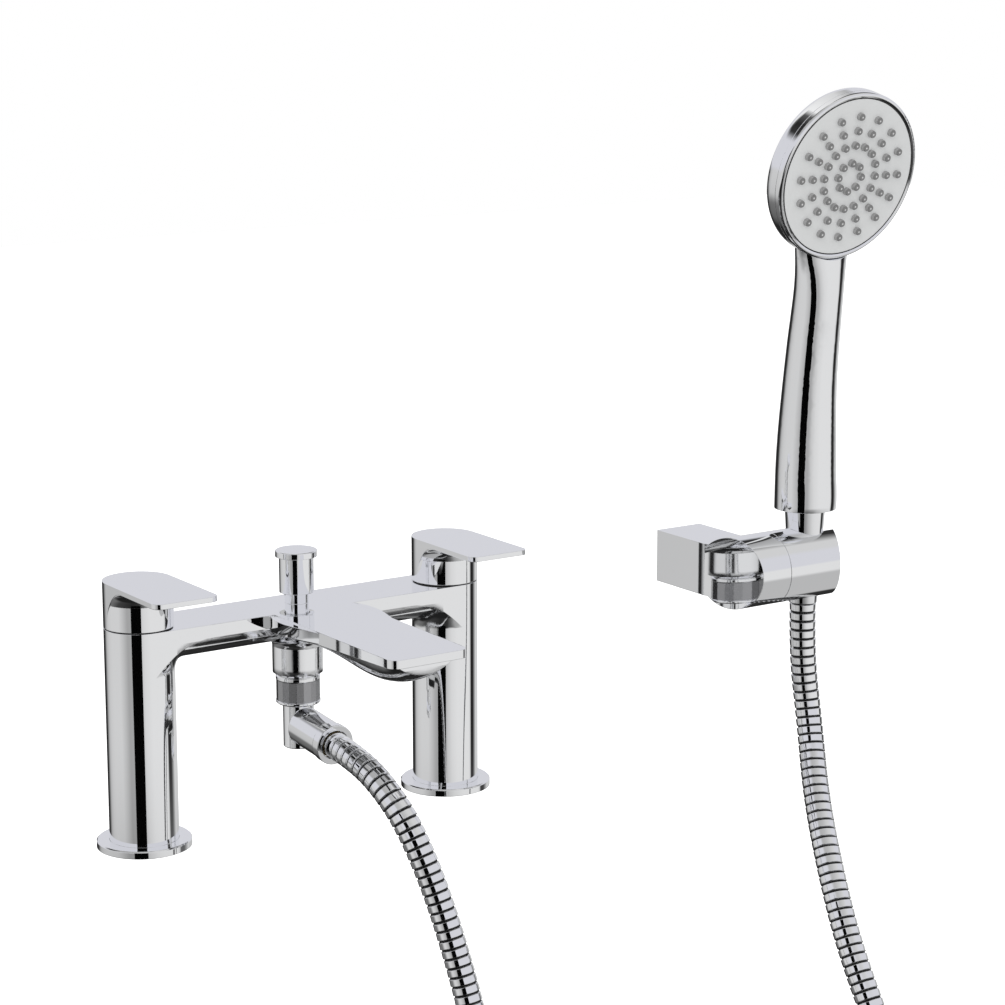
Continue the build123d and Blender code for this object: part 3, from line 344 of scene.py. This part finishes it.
def metal(name, colour, roughness, haze, scale=60.0, soft=(0.0, 0.0, 0.0, 1.0), lean=None):
    """A polished metal. soft is a rounding, the heights it lies between and its reach.
    lean tips the left faces back towards +Y: by how much, and how much more as they slant."""
    material, surface, tree = new_material(name)
    surface.inputs["Base Color"].default_value = (*colour, 1)
    surface.inputs["Metallic"].default_value = 1.0
    marks = tree.nodes.new("ShaderNodeGroup")
    marks.node_tree = polish
    marks.inputs["Roughness"].default_value = roughness
    marks.inputs["Haze"].default_value = haze
    marks.inputs["Scale"].default_value = scale
    marks.inputs["Depth"].default_value = WIPE_DEPTH
    for socket, value in zip(("Soft Round", "Soft From", "Soft To", "Soft Reach"), soft):
        marks.inputs[socket].default_value = value
    tree.links.new(marks.outputs["Roughness"], surface.inputs["Roughness"])
    if lean is None:
        tree.links.new(marks.outputs["Normal"], surface.inputs["Normal"])
        return material
    parts = tree.nodes.new("ShaderNodeSeparateXYZ")
    tree.links.new(marks.outputs["Normal"], parts.inputs[0])
    facing = tree.nodes.new("ShaderNodeMath")
    facing.operation = "LESS_THAN"
    facing.inputs[1].default_value = LEFT_FACING
    tree.links.new(parts.outputs["X"], facing.inputs[0])
    growth = tree.nodes.new("ShaderNodeMath")
    growth.operation = "MULTIPLY_ADD"
    tree.links.new(parts.outputs["Y"], growth.inputs[0])
    growth.inputs[1].default_value = -lean[1]
    growth.inputs[2].default_value = lean[0]
    amount = tree.nodes.new("ShaderNodeMath")
    amount.operation = "MULTIPLY"
    tree.links.new(growth.outputs[0], amount.inputs[0])
    tree.links.new(facing.outputs[0], amount.inputs[1])
    shift = tree.nodes.new("ShaderNodeVectorMath")
    shift.operation = "SCALE"
    shift.inputs[0].default_value = (0, 1, 0)
    tree.links.new(amount.outputs[0], shift.inputs["Scale"])
    turned = tree.nodes.new("ShaderNodeVectorMath")
    turned.operation = "ADD"
    tree.links.new(marks.outputs["Normal"], turned.inputs[0])
    tree.links.new(shift.outputs[0], turned.inputs[1])
    level = tree.nodes.new("ShaderNodeVectorMath")
    level.operation = "NORMALIZE"
    tree.links.new(turned.outputs[0], level.inputs[0])
    tree.links.new(level.outputs[0], surface.inputs["Normal"])
    return material


def moulded(name, colour, roughness, grain_depth, tone=0.05, scale=900.0, coat=0.0):
    """Plastic, ceramic or rubber."""
    material, surface, tree = new_material(name)
    surface.inputs["Roughness"].default_value = roughness
    surface.inputs["Coat Weight"].default_value = coat
    texture = tree.nodes.new("ShaderNodeGroup")
    texture.node_tree = grain
    texture.inputs["Grain"].default_value = grain_depth
    texture.inputs["Scale"].default_value = scale
    texture.inputs["Tone"].default_value = tone
    tint = tree.nodes.new("ShaderNodeVectorMath")
    tint.operation = "SCALE"
    tint.inputs[0].default_value = colour
    tree.links.new(texture.outputs["Shade"], tint.inputs["Scale"])
    tree.links.new(tint.outputs[0], surface.inputs["Base Color"])
    tree.links.new(texture.outputs["Normal"], surface.inputs["Normal"])
    return material


CHROME = (0.93, 0.935, 0.945)
chrome = metal("polished_chrome", CHROME, 0.02, 0.02)
body_soft = (BODY_SOFT, BODY_SOFT_FROM, BODY_SOFT_TO, BODY_SOFT_REACH)
body_chrome = metal("cast_body_chrome", CHROME, 0.02, 0.02, soft=body_soft)
bracket_chrome = metal("bracket_chrome", CHROME, 0.01, 0.01, lean=BRACKET_LEAN)
finishes = {
    "chrome": chrome,
    "steel": metal("stainless_screws", (0.58, 0.58, 0.6), 0.25, 0.1, scale=400.0),
    "brass": metal("turned_brass", (0.78, 0.62, 0.33), 0.22, 0.12, scale=300.0),
    "ceramic": moulded("ceramic_discs", (0.88, 0.88, 0.85), 0.15, 0.02, coat=0.4),
    "plastic_white": moulded("white_acetal", (0.82, 0.82, 0.81), 0.4, 0.1),
    "rubber_black": moulded("black_rubber", (0.025, 0.025, 0.026), 0.6, 0.3),
    "rubber_grey": moulded("grey_silicone", (0.32, 0.32, 0.32), 0.45, 0.2, tone=0.12),
    "plate_grey": moulded("spray_plate_satin", (0.79, 0.8, 0.8), 0.3, 0.06, coat=0.25),
}
slot_of = {entry["node"]: entry["material_slot"] for entry in frame["record"]["subparts"]}
# A near-black finish that stands for shade: painted shade in the narrow seams round the glide
# rings and the spray plate
seam_painted_shade = moulded("seam_ring_painted_shade", (0.012, 0.012, 0.012), 0.5, 0.1)
# Near-black metal for the floors of the hose's grooves: painted shade in the grooves between the
# bands
hose_groove_painted_shade = metal("hose_joint_shadow", (0.03, 0.03, 0.03), 0.4, 0.1)
own_finish = {
    "mixer_body": body_chrome,
    # The glide rings are drawn in it, not in their white acetal: painted shade in the seam at each
    # ring
    "hot_glide_ring": seam_painted_shade,
    "cold_glide_ring": seam_painted_shade,
    "bracket_body": bracket_chrome,
}
for name, piece in nodes.items():
    piece.data.materials.clear()
    piece.data.materials.append(own_finish.get(name, finishes[slot_of[name]]))

# Turned pieces


def add_stack(build, matrix, profile, sides):
    """A closed turned form from rings of radius, height and material number."""
    rings = []
    for radius, height, _ in profile:
        stand = matrix @ Matrix.Translation((0, 0, height * MM))
        made = bmesh.ops.create_circle(build, radius=radius * MM, segments=sides, matrix=stand)
        rings.append(made["verts"])
    for lower, upper, (_, _, number) in zip(rings, rings[1:], profile[1:]):
        for index in range(sides):
            following = (index + 1) % sides
            corners = (lower[index], lower[following], upper[following], upper[index])
            build.faces.new(corners).material_index = number
    build.faces.new(rings[0])
    build.faces.new(rings[-1]).material_index = profile[-1][2]


def turn_outline(build, outline, centre, steps):
    """Turns a flat outline all round an upright axis into a closed ring."""
    bmesh.ops.spin(
        build,
        geom=[*outline.edges, *outline.verts],
        cent=centre,
        axis=(0, 0, 1),
        angle=2 * math.pi,
        steps=steps,
        use_merge=True,
    )
    bmesh.ops.delete(build, geom=[outline], context="FACES_ONLY")
    bmesh.ops.remove_doubles(build, verts=build.verts, dist=SAME_PLACE)


def finished_piece(name, build, materials, sharp_from=30):
    """Turns the built form into a piece, smooth but for edges sharper than an angle in degrees."""
    bmesh.ops.recalc_face_normals(build, faces=build.faces)
    for face in build.faces:
        face.smooth = True
    mesh = bpy.data.meshes.new(name)
    build.to_mesh(mesh)
    build.free()
    mesh.set_sharp_from_angle(angle=math.radians(sharp_from))
    piece = bpy.data.objects.new(name, mesh)
    bpy.context.collection.objects.link(piece)
    for material in materials:
        mesh.materials.append(material)
    return piece


# The hose: one smooth line, then the rings of its wound cover


def route_curve(points):
    """A quadratic spline with the route's points as its control points."""
    curve = bpy.data.curves.new("hose_line", "CURVE")
    curve.dimensions = "3D"
    curve.resolution_u = 24
    spline = curve.splines.new("NURBS")
    spline.points.add(len(points) - 1)
    for control, point in zip(spline.points, points):
        control.co = (*point, 1)
    spline.order_u = 3
    spline.use_endpoint_u = True
    return curve


def follow(points):
    """The spline's own line as points, with the length along it at each."""
    line = bpy.data.objects.new("hose_line", route_curve(points))
    bpy.context.collection.objects.link(line)
    worked_out = line.evaluated_get(bpy.context.evaluated_depsgraph_get())
    mesh = bpy.data.meshes.new_from_object(worked_out)
    places = [vertex.co.copy() for vertex in mesh.vertices]
    bpy.data.objects.remove(line)
    bpy.data.meshes.remove(mesh)
    if (places[0] - points[0]).length > (places[-1] - points[0]).length:
        places.reverse()
    along = [0.0]
    for before, after in zip(places, places[1:]):
        along.append(along[-1] + (after - before).length)
    return places, along


def place_at(places, along, length):
    """The point and direction at a length along the line."""
    length = min(max(length, 0.0), along[-1])
    low, high = 0, len(along) - 2
    while low < high:
        middle = (low + high + 1) // 2
        if along[middle] <= length:
            low = middle
        else:
            high = middle - 1
    step = along[low + 1] - along[low]
    share = (length - along[low]) / step
    tangent = (places[low + 1] - places[low]).normalized()
    return places[low].lerp(places[low + 1], share), tangent


def ring_matrix(place, tangent):
    """Stands a flat ring square to the line, on the steady axis."""
    side = tangent.cross(STEADY_AXIS).normalized()
    across = side.cross(tangent)
    turned = Matrix((across, side, tangent)).transposed()
    return Matrix.Translation(place) @ turned.to_4x4()


def ribbed_tube(name, places, along, radius, materials):
    """A closed tube whose wall steps in between the bands of a wound cover."""
    count = round(along[-1] / RIB_PITCH)
    pitch = along[-1] / count
    rings = []
    tube = bmesh.new()

    def add_ring(length, ring_radius):
        place, tangent = place_at(places, along, length)
        stand = ring_matrix(place, tangent)
        made = bmesh.ops.create_circle(tube, radius=ring_radius, segments=RIB_SIDES, matrix=stand)
        rings.append(made["verts"])

    for rib in range(count):
        for share, step in RIB_BAND:
            add_ring((rib + share) * pitch, radius + step)
    add_ring(along[-1], radius - RIB_RISE)
    for row, (lower, upper) in enumerate(zip(rings, rings[1:])):
        for index in range(RIB_SIDES):
            following = (index + 1) % RIB_SIDES
            corners = (lower[index], lower[following], upper[following], upper[index])
            wall = tube.faces.new(corners)
            # The floor of each groove takes the second finish, the near-black metal: painted shade
            wall.material_index = 1 if row % len(RIB_BAND) == len(RIB_BAND) - 1 else 0
    tube.faces.new(rings[0])
    tube.faces.new(rings[-1])
    return finished_piece(name, tube, materials)


hose_places, hose_along = follow(hose_route())
hose = ribbed_tube(
    "shower_hose_cover", hose_places, hose_along, HOSE_DIAMETER / 2, [chrome, hose_groove_painted_shade]
)
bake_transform(hose)
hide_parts("shower_hose")

# Under each lever a hollow round leads from the hub's wall to the lever's underside


def hollow_round(name, centre, wall, ceiling, radius, body, half_width=None):
    """A concave quarter round between an upright round wall and a flat ceiling.
    It goes all round, or with half_width only round the front and between two cuts."""
    profile = [(wall - ROOT_BITE, ceiling + ROOT_BITE), (wall - ROOT_BITE, ceiling - radius)]
    for step in range(ROOT_ARC_STEPS + 1):
        angle = math.radians(180 - 90 * step / ROOT_ARC_STEPS)
        reach = wall + radius + radius * math.cos(angle)
        profile.append((reach, ceiling - radius + radius * math.sin(angle)))
    profile.append((wall + radius, ceiling + ROOT_BITE))
    root = bmesh.new()
    corners = [root.verts.new(centre + Vector((-reach, 0, height))) for reach, height in profile]
    turn_outline(root, root.faces.new(corners), centre, ROOT_STEPS)
    if half_width is not None:
        cuts = [
            ((-half_width, 0, 0), (-1, 0, 0)),
            ((half_width, 0, 0), (1, 0, 0)),
            ((0, 0, 0), (0, 1, 0)),
        ]
        for place, outward in cuts:
            bmesh.ops.bisect_plane(
                root,
                geom=[*root.verts, *root.edges, *root.faces],
                plane_co=centre + Vector(place),
                plane_no=outward,
                clear_outer=True,
            )
            bmesh.ops.holes_fill(root, edges=[edge for edge in root.edges if edge.is_boundary])
    piece = finished_piece(name, root, [chrome])
    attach(piece, body)


def lever_root(name, node, body):
    """The hollow round under one lever, placed from the handle's own box."""
    low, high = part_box(node)
    centre = Vector(((low.x + high.x) / 2, high.y - HUB_RADIUS, 0))
    underside = high.z - LEVER_THICKNESS
    side = HUB_RADIUS - ROOT_INSET
    hollow_round(name, centre, HUB_RADIUS, underside, ROOT_RADIUS, body, side)


lever_root("hot_lever_root", "hot_handle", "hot_valve")
lever_root("cold_lever_root", "cold_handle", "cold_valve")
hollow_round("boss_root", Vector((0, 0, 0)), BOSS_RADIUS, BOSS_TOP, BOSS_ROUND, "mixer")

# The spray head's nozzles, and the black ring of painted shade round its plate


def face_matrix():
    """Stands flat work on the spray face, its Z straight out of it."""
    out = Vector((0, -math.cos(FACE_TILT), -math.sin(FACE_TILT)))
    across = Vector((1, 0, 0))
    turned = Matrix((across, out.cross(across), out)).transposed()
    return Matrix.Translation(FACE_CENTRE) @ turned.to_4x4()


face_stand = face_matrix()
tips_build = bmesh.new()
for count, ring_share in NOZZLE_RINGS:
    for index in range(count):
        turn = 2 * math.pi * index / count
        spot = Vector((math.cos(turn), math.sin(turn), 0)) * FACE_RADIUS * ring_share
        nozzle_stand = face_stand @ Matrix.Translation(spot)
        add_stack(tips_build, nozzle_stand, NOZZLE_PROFILE, NOZZLE_SIDES)
# One silicone in three greys: the wall in its own grey, the end in a painted shade, the mouth in a
# painted highlight
nozzle_finishes = [
    moulded("nozzle_wall_silicone", (0.4, 0.4, 0.4), 0.4, 0.1),
    moulded("nozzle_end_painted_shade", (0.22, 0.22, 0.22), 0.4, 0.1),
    moulded("nozzle_mouth_painted_highlight", (0.75, 0.75, 0.75), 0.5, 0.1),
]
nozzle_tips = finished_piece("nozzle_tips", tips_build, nozzle_finishes)
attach(nozzle_tips, "handset")

gap_shade_build = bmesh.new()
inner, outer = PLATE_EDGE - JOINT_WIDTH, PLATE_EDGE + JOINT_OVERLAP
low, high = PLATE_FRONT - JOINT_DEPTH, PLATE_FRONT + JOINT_RISE
section = [(inner, 0, low), (outer, 0, low), (outer, 0, high), (inner, 0, high)]
outline = gap_shade_build.faces.new([gap_shade_build.verts.new(corner) for corner in section])
turn_outline(gap_shade_build, outline, (0, 0, 0), JOINT_STEPS)
bmesh.ops.transform(gap_shade_build, matrix=face_stand, verts=gap_shade_build.verts)
plate_gap_painted_shade = finished_piece("plate_gap_painted_shade", gap_shade_build, [seam_painted_shade])
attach(plate_gap_painted_shade, "handset")

# The inner hose
liner_build = bmesh.new()
add_stack(liner_build, Matrix.Translation(CONE_FOOT), LINER_PROFILE, LINER_SIDES)
liner = finished_piece("hose_liner", liner_build, [chrome])
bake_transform(liner)

# The union nut
nut_build = bmesh.new()
add_stack(nut_build, Matrix.Rotation(NUT_TURN, 4, "Z"), NUT_BAND, NUT_GRIPS)
add_stack(nut_build, Matrix.Identity(4), NUT_LOWER_LIP, TURNED_SIDES)
add_stack(nut_build, Matrix.Identity(4), NUT_UPPER_LIP, TURNED_SIDES)
grip_metal = metal("nut_grips_chrome", (0.42, 0.42, 0.43), 0.22, 0.1)
nut = finished_piece("union_nut_shell", nut_build, [grip_metal, chrome], sharp_from=NUT_SHARP)
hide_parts("union_nut")
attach(nut, "mixer")

# The elbow
elbow_build = bmesh.new()
add_stack(elbow_build, Matrix.Identity(4), ELBOW_TUBE, TURNED_SIDES)
branch_turn = BRANCH_WAY.to_track_quat("Z", "X").to_matrix().to_4x4()
branch_stand = Matrix.Translation(BRANCH_FOOT) @ branch_turn
add_stack(elbow_build, branch_stand, ELBOW_BRANCH, TURNED_SIDES)
elbow = finished_piece("elbow_shell", elbow_build, [chrome])
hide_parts("elbow")
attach(elbow, "mixer")

# Floor, backdrop and light
FLOOR_HALF = 6.0
FLOOR_DROP = 2 * MM
# The floor shows a little of its own light to the camera, so it is white but keeps a soft shadow
FLOOR_LIGHT = 0.8
EVEN_LIGHT = 0.75
KEY_PLACE = (-1.6, -1.8, 1.8)
KEY_TARGET = (0.1, -0.1, 0.1)
KEY_SIZE = 1.2
KEY_WATTS = 12
# What polished metal mirrors: brightness by the angle in degrees, counted from the camera's side
# with the right of the picture at 90. Near the horizon
HORIZON = [
    (-180, 0.6),
    (-172, 0.5),
    (-163, 0.02),
    (-140, 0.02),
    (-132, 0.15),
    (-126, 0.38),
    (-118, 0.52),
    (-106, 0.61),
    (-90, 0.65),
    (-60, 0.65),
    (-45, 0.53),
    (-30, 0.38),
    (0, 0.4),
    (12, 0.6),
    (25, 0.71),
    (45, 0.77),
    (94, 0.77),
    (101, 0.65),
    (105, 0.02),
    (118, 0.02),
    (126, 0.24),
    (138, 0.66),
]
# Well under it the ground is dark, and pale on the right side alone
GROUND = [
    (-180, 0.02),
    (-150, 0.02),
    (-138, 0.12),
    (-120, 0.18),
    (-90, 0.14),
    (-65, 0.05),
    (-15, 0.02),
    (10, 0.03),
    (25, 0.12),
    (40, 0.35),
    (60, 0.5),
    (138, 0.5),
    (146, 0.03),
    (180, 0.02),
]
# Straight down everything is black
NADIR = [(-180, 0.015), (180, 0.015)]
# And over the horizon an even sky, with two dark gaps higher up between the lamps
SKY = [(-180, 0.68), (180, 0.68)]
UPPER_SKY = [
    (-180, 0.7),
    (-150, 0.85),
    (-135, 0.9),
    (-124, 0.1),
    (-112, 0.02),
    (-98, 0.05),
    (-80, 0.4),
    (0, 0.5),
    (60, 0.66),
    (105, 0.66),
    (122, 0.25),
    (135, 0.03),
    (165, 0.03),
    (173, 0.5),
    (180, 0.7),
]
SKY_TINT = (1.0, 1.005, 1.07, 1)
# Where each goes over into the next, as the sine of the height over the horizon
NADIR_TO_GROUND = (-0.88, -0.78)
GROUND_TO_HORIZON = (-0.42, -0.28)
HORIZON_TO_SKY = (0.0, 0.1)
SKY_TO_UPPER = (0.5, 0.64)
# A black flag stands beside the camera: how far from the object, how far to the left, and its size
FLAG_DISTANCE = 0.812
FLAG_SHIFT = -0.083
FLAG_WIDTH = 0.45
FLAG_FOOT = -0.4
FLAG_TOP = 0.5


def matt_material(name, colour):
    """A dull material for the floor or for cloth."""
    material, surface, tree = new_material(name)
    surface.inputs["Base Color"].default_value = (*colour, 1)
    surface.inputs["Roughness"].default_value = 0.9
    return material, surface, tree


def stage_piece(name, build, material):
    """A piece of the studio, which isn't part of the object."""
    mesh = bpy.data.meshes.new(name)
    build.to_mesh(mesh)
    build.free()
    piece = bpy.data.objects.new(name, mesh)
    bpy.context.collection.objects.link(piece)
    mesh.materials.append(material)
    return piece


def floor_finish():
    """Pale and dull, and nearly white by itself where the camera looks straight at it."""
    material, surface, tree = matt_material("studio_white", (0.9, 0.9, 0.9))
    new, link = tree.nodes.new, tree.links.new
    white = new("ShaderNodeEmission")
    white.inputs["Strength"].default_value = FLOOR_LIGHT
    lifted = new("ShaderNodeAddShader")
    link(surface.outputs[0], lifted.inputs[0])
    link(white.outputs[0], lifted.inputs[1])
    rays = new("ShaderNodeLightPath")
    choice = new("ShaderNodeMixShader")
    link(rays.outputs["Is Camera Ray"], choice.inputs["Fac"])
    link(surface.outputs[0], choice.inputs[1])
    link(lifted.outputs[0], choice.inputs[2])
    link(choice.outputs[0], tree.nodes["Material Output"].inputs["Surface"])
    return material


def brightness_ramp(tree, socket, steps):
    """A ramp of greys round the camera: the angle in degrees and the brightness of each stop."""
    node = tree.nodes.new("ShaderNodeValToRGB")
    node.color_ramp.interpolation = "LINEAR"
    stops = node.color_ramp.elements
    for index, (angle, shade) in enumerate(steps):
        place = angle / 360 + 0.5
        stop = stops[index] if index < 2 else stops.new(place)
        stop.position = place
        stop.color = (shade, shade, shade, 1)
    tree.links.new(socket, node.inputs[0])
    return node.outputs["Color"]


def fade(tree, socket, span, below, above):
    """Goes from one colour to the next as a value rises through a span."""
    rise = tree.nodes.new("ShaderNodeMapRange")
    rise.interpolation_type = "SMOOTHSTEP"
    rise.inputs["From Min"].default_value = span[0]
    rise.inputs["From Max"].default_value = span[1]
    tree.links.new(socket, rise.inputs["Value"])
    mix = tree.nodes.new("ShaderNodeMix")
    mix.data_type = "RGBA"
    tree.links.new(rise.outputs[0], mix.inputs["Factor"])
    tree.links.new(below, mix.inputs["A"])
    tree.links.new(above, mix.inputs["B"])
    return mix.outputs["Result"]


def studio_world():
    """White to the camera, a soft even light on the object, and dark flags in the reflections."""
    world = bpy.data.worlds.new("studio")
    world.use_nodes = True
    bpy.context.scene.world = world
    tree = world.node_tree
    tree.nodes.clear()
    new, link = tree.nodes.new, tree.links.new
    direction = new("ShaderNodeTexCoord")
    turn = new("ShaderNodeMapping")
    turn.vector_type = "POINT"
    turn.inputs["Rotation"].default_value = (0, 0, math.pi / 2 + CAMERA_AZIMUTH)
    link(direction.outputs["Generated"], turn.inputs["Vector"])
    parts = new("ShaderNodeSeparateXYZ")
    link(turn.outputs[0], parts.inputs[0])
    round_angle = new("ShaderNodeMath")
    round_angle.operation = "ARCTAN2"
    link(parts.outputs["Y"], round_angle.inputs[0])
    link(parts.outputs["X"], round_angle.inputs[1])
    share = new("ShaderNodeMath")
    share.operation = "MULTIPLY_ADD"
    share.inputs[1].default_value = 0.5 / math.pi
    share.inputs[2].default_value = 0.5
    link(round_angle.outputs[0], share.inputs[0])
    nadir, ground, horizon, sky, upper = (
        brightness_ramp(tree, share.outputs[0], steps)
        for steps in (NADIR, GROUND, HORIZON, SKY, UPPER_SKY)
    )
    tinted = new("ShaderNodeMix")
    tinted.data_type = "RGBA"
    tinted.blend_type = "MULTIPLY"
    tinted.inputs["Factor"].default_value = 1.0
    tinted.inputs["B"].default_value = SKY_TINT
    link(sky, tinted.inputs["A"])
    height = parts.outputs["Z"]
    deep = fade(tree, height, NADIR_TO_GROUND, nadir, ground)
    lower = fade(tree, height, GROUND_TO_HORIZON, deep, horizon)
    level = fade(tree, height, HORIZON_TO_SKY, lower, tinted.outputs["Result"])
    whole = fade(tree, height, SKY_TO_UPPER, level, upper)
    studio = new("ShaderNodeBackground")
    link(whole, studio.inputs["Color"])
    soft = new("ShaderNodeBackground")
    soft.inputs["Color"].default_value = (1, 1, 1, 1)
    soft.inputs["Strength"].default_value = EVEN_LIGHT
    blank = new("ShaderNodeBackground")
    blank.inputs["Color"].default_value = (1, 1, 1, 1)
    rays = new("ShaderNodeLightPath")
    glossy = new("ShaderNodeMixShader")
    link(rays.outputs["Is Glossy Ray"], glossy.inputs["Fac"])
    link(soft.outputs[0], glossy.inputs[1])
    link(studio.outputs[0], glossy.inputs[2])
    seen = new("ShaderNodeMixShader")
    link(rays.outputs["Is Camera Ray"], seen.inputs["Fac"])
    link(glossy.outputs[0], seen.inputs[1])
    link(blank.outputs[0], seen.inputs[2])
    out = new("ShaderNodeOutputWorld")
    link(seen.outputs[0], out.inputs["Surface"])


def softbox(name, place, target, size, energy):
    """A square area lamp that points at the object."""
    lamp = bpy.data.lights.new(name, "AREA")
    lamp.shape = "SQUARE"
    lamp.size = size
    lamp.energy = energy
    piece = bpy.data.objects.new(name, lamp)
    piece.location = place
    piece.rotation_euler = (Vector(target) - Vector(place)).to_track_quat("-Z", "Y").to_euler()
    piece.visible_glossy = False
    bpy.context.collection.objects.link(piece)


floor_build = bmesh.new()
floor_stand = Matrix.Translation((0, 0, cad_box[0].z - FLOOR_DROP))
bmesh.ops.create_grid(floor_build, x_segments=1, y_segments=1, size=FLOOR_HALF, matrix=floor_stand)
floor = stage_piece("studio_floor", floor_build, floor_finish())
floor.visible_glossy = False

studio_world()
softbox("key_softbox", KEY_PLACE, KEY_TARGET, KEY_SIZE, KEY_WATTS)

# The black flag beside the camera, which gives each upright tube its dark strip
flag_build = bmesh.new()
to_camera = Vector((-math.sin(CAMERA_AZIMUTH), -math.cos(CAMERA_AZIMUTH), 0))
across_view = Vector((math.cos(CAMERA_AZIMUTH), -math.sin(CAMERA_AZIMUTH), 0))
middle = to_camera * FLAG_DISTANCE + across_view * FLAG_SHIFT
corners = [
    flag_build.verts.new(middle + across_view * side * FLAG_WIDTH / 2 + Vector((0, 0, height)))
    for side, height in ((-1, FLAG_FOOT), (1, FLAG_FOOT), (1, FLAG_TOP), (-1, FLAG_TOP))
]
flag_build.faces.new(corners)
flag_cloth, cloth_surface, _ = matt_material("flag_cloth", (0.002, 0.002, 0.002))
cloth_surface.inputs["Specular IOR Level"].default_value = 0.0
flag = stage_piece("black_flag", flag_build, flag_cloth)
flag.visible_camera = False
flag.visible_shadow = False
flag.visible_diffuse = False

camera_data = bpy.data.cameras.new("photo_camera")
camera_data.sensor_width = SENSOR
camera_data.lens = CAMERA_LENS
camera = bpy.data.objects.new("photo_camera", camera_data)
camera.location = CAMERA_PLACE
camera.rotation_euler = (math.pi / 2 - CAMERA_ELEVATION, 0, -CAMERA_AZIMUTH)
bpy.context.collection.objects.link(camera)
bpy.context.scene.camera = camera
bpy.context.scene.view_settings.view_transform = "Standard"
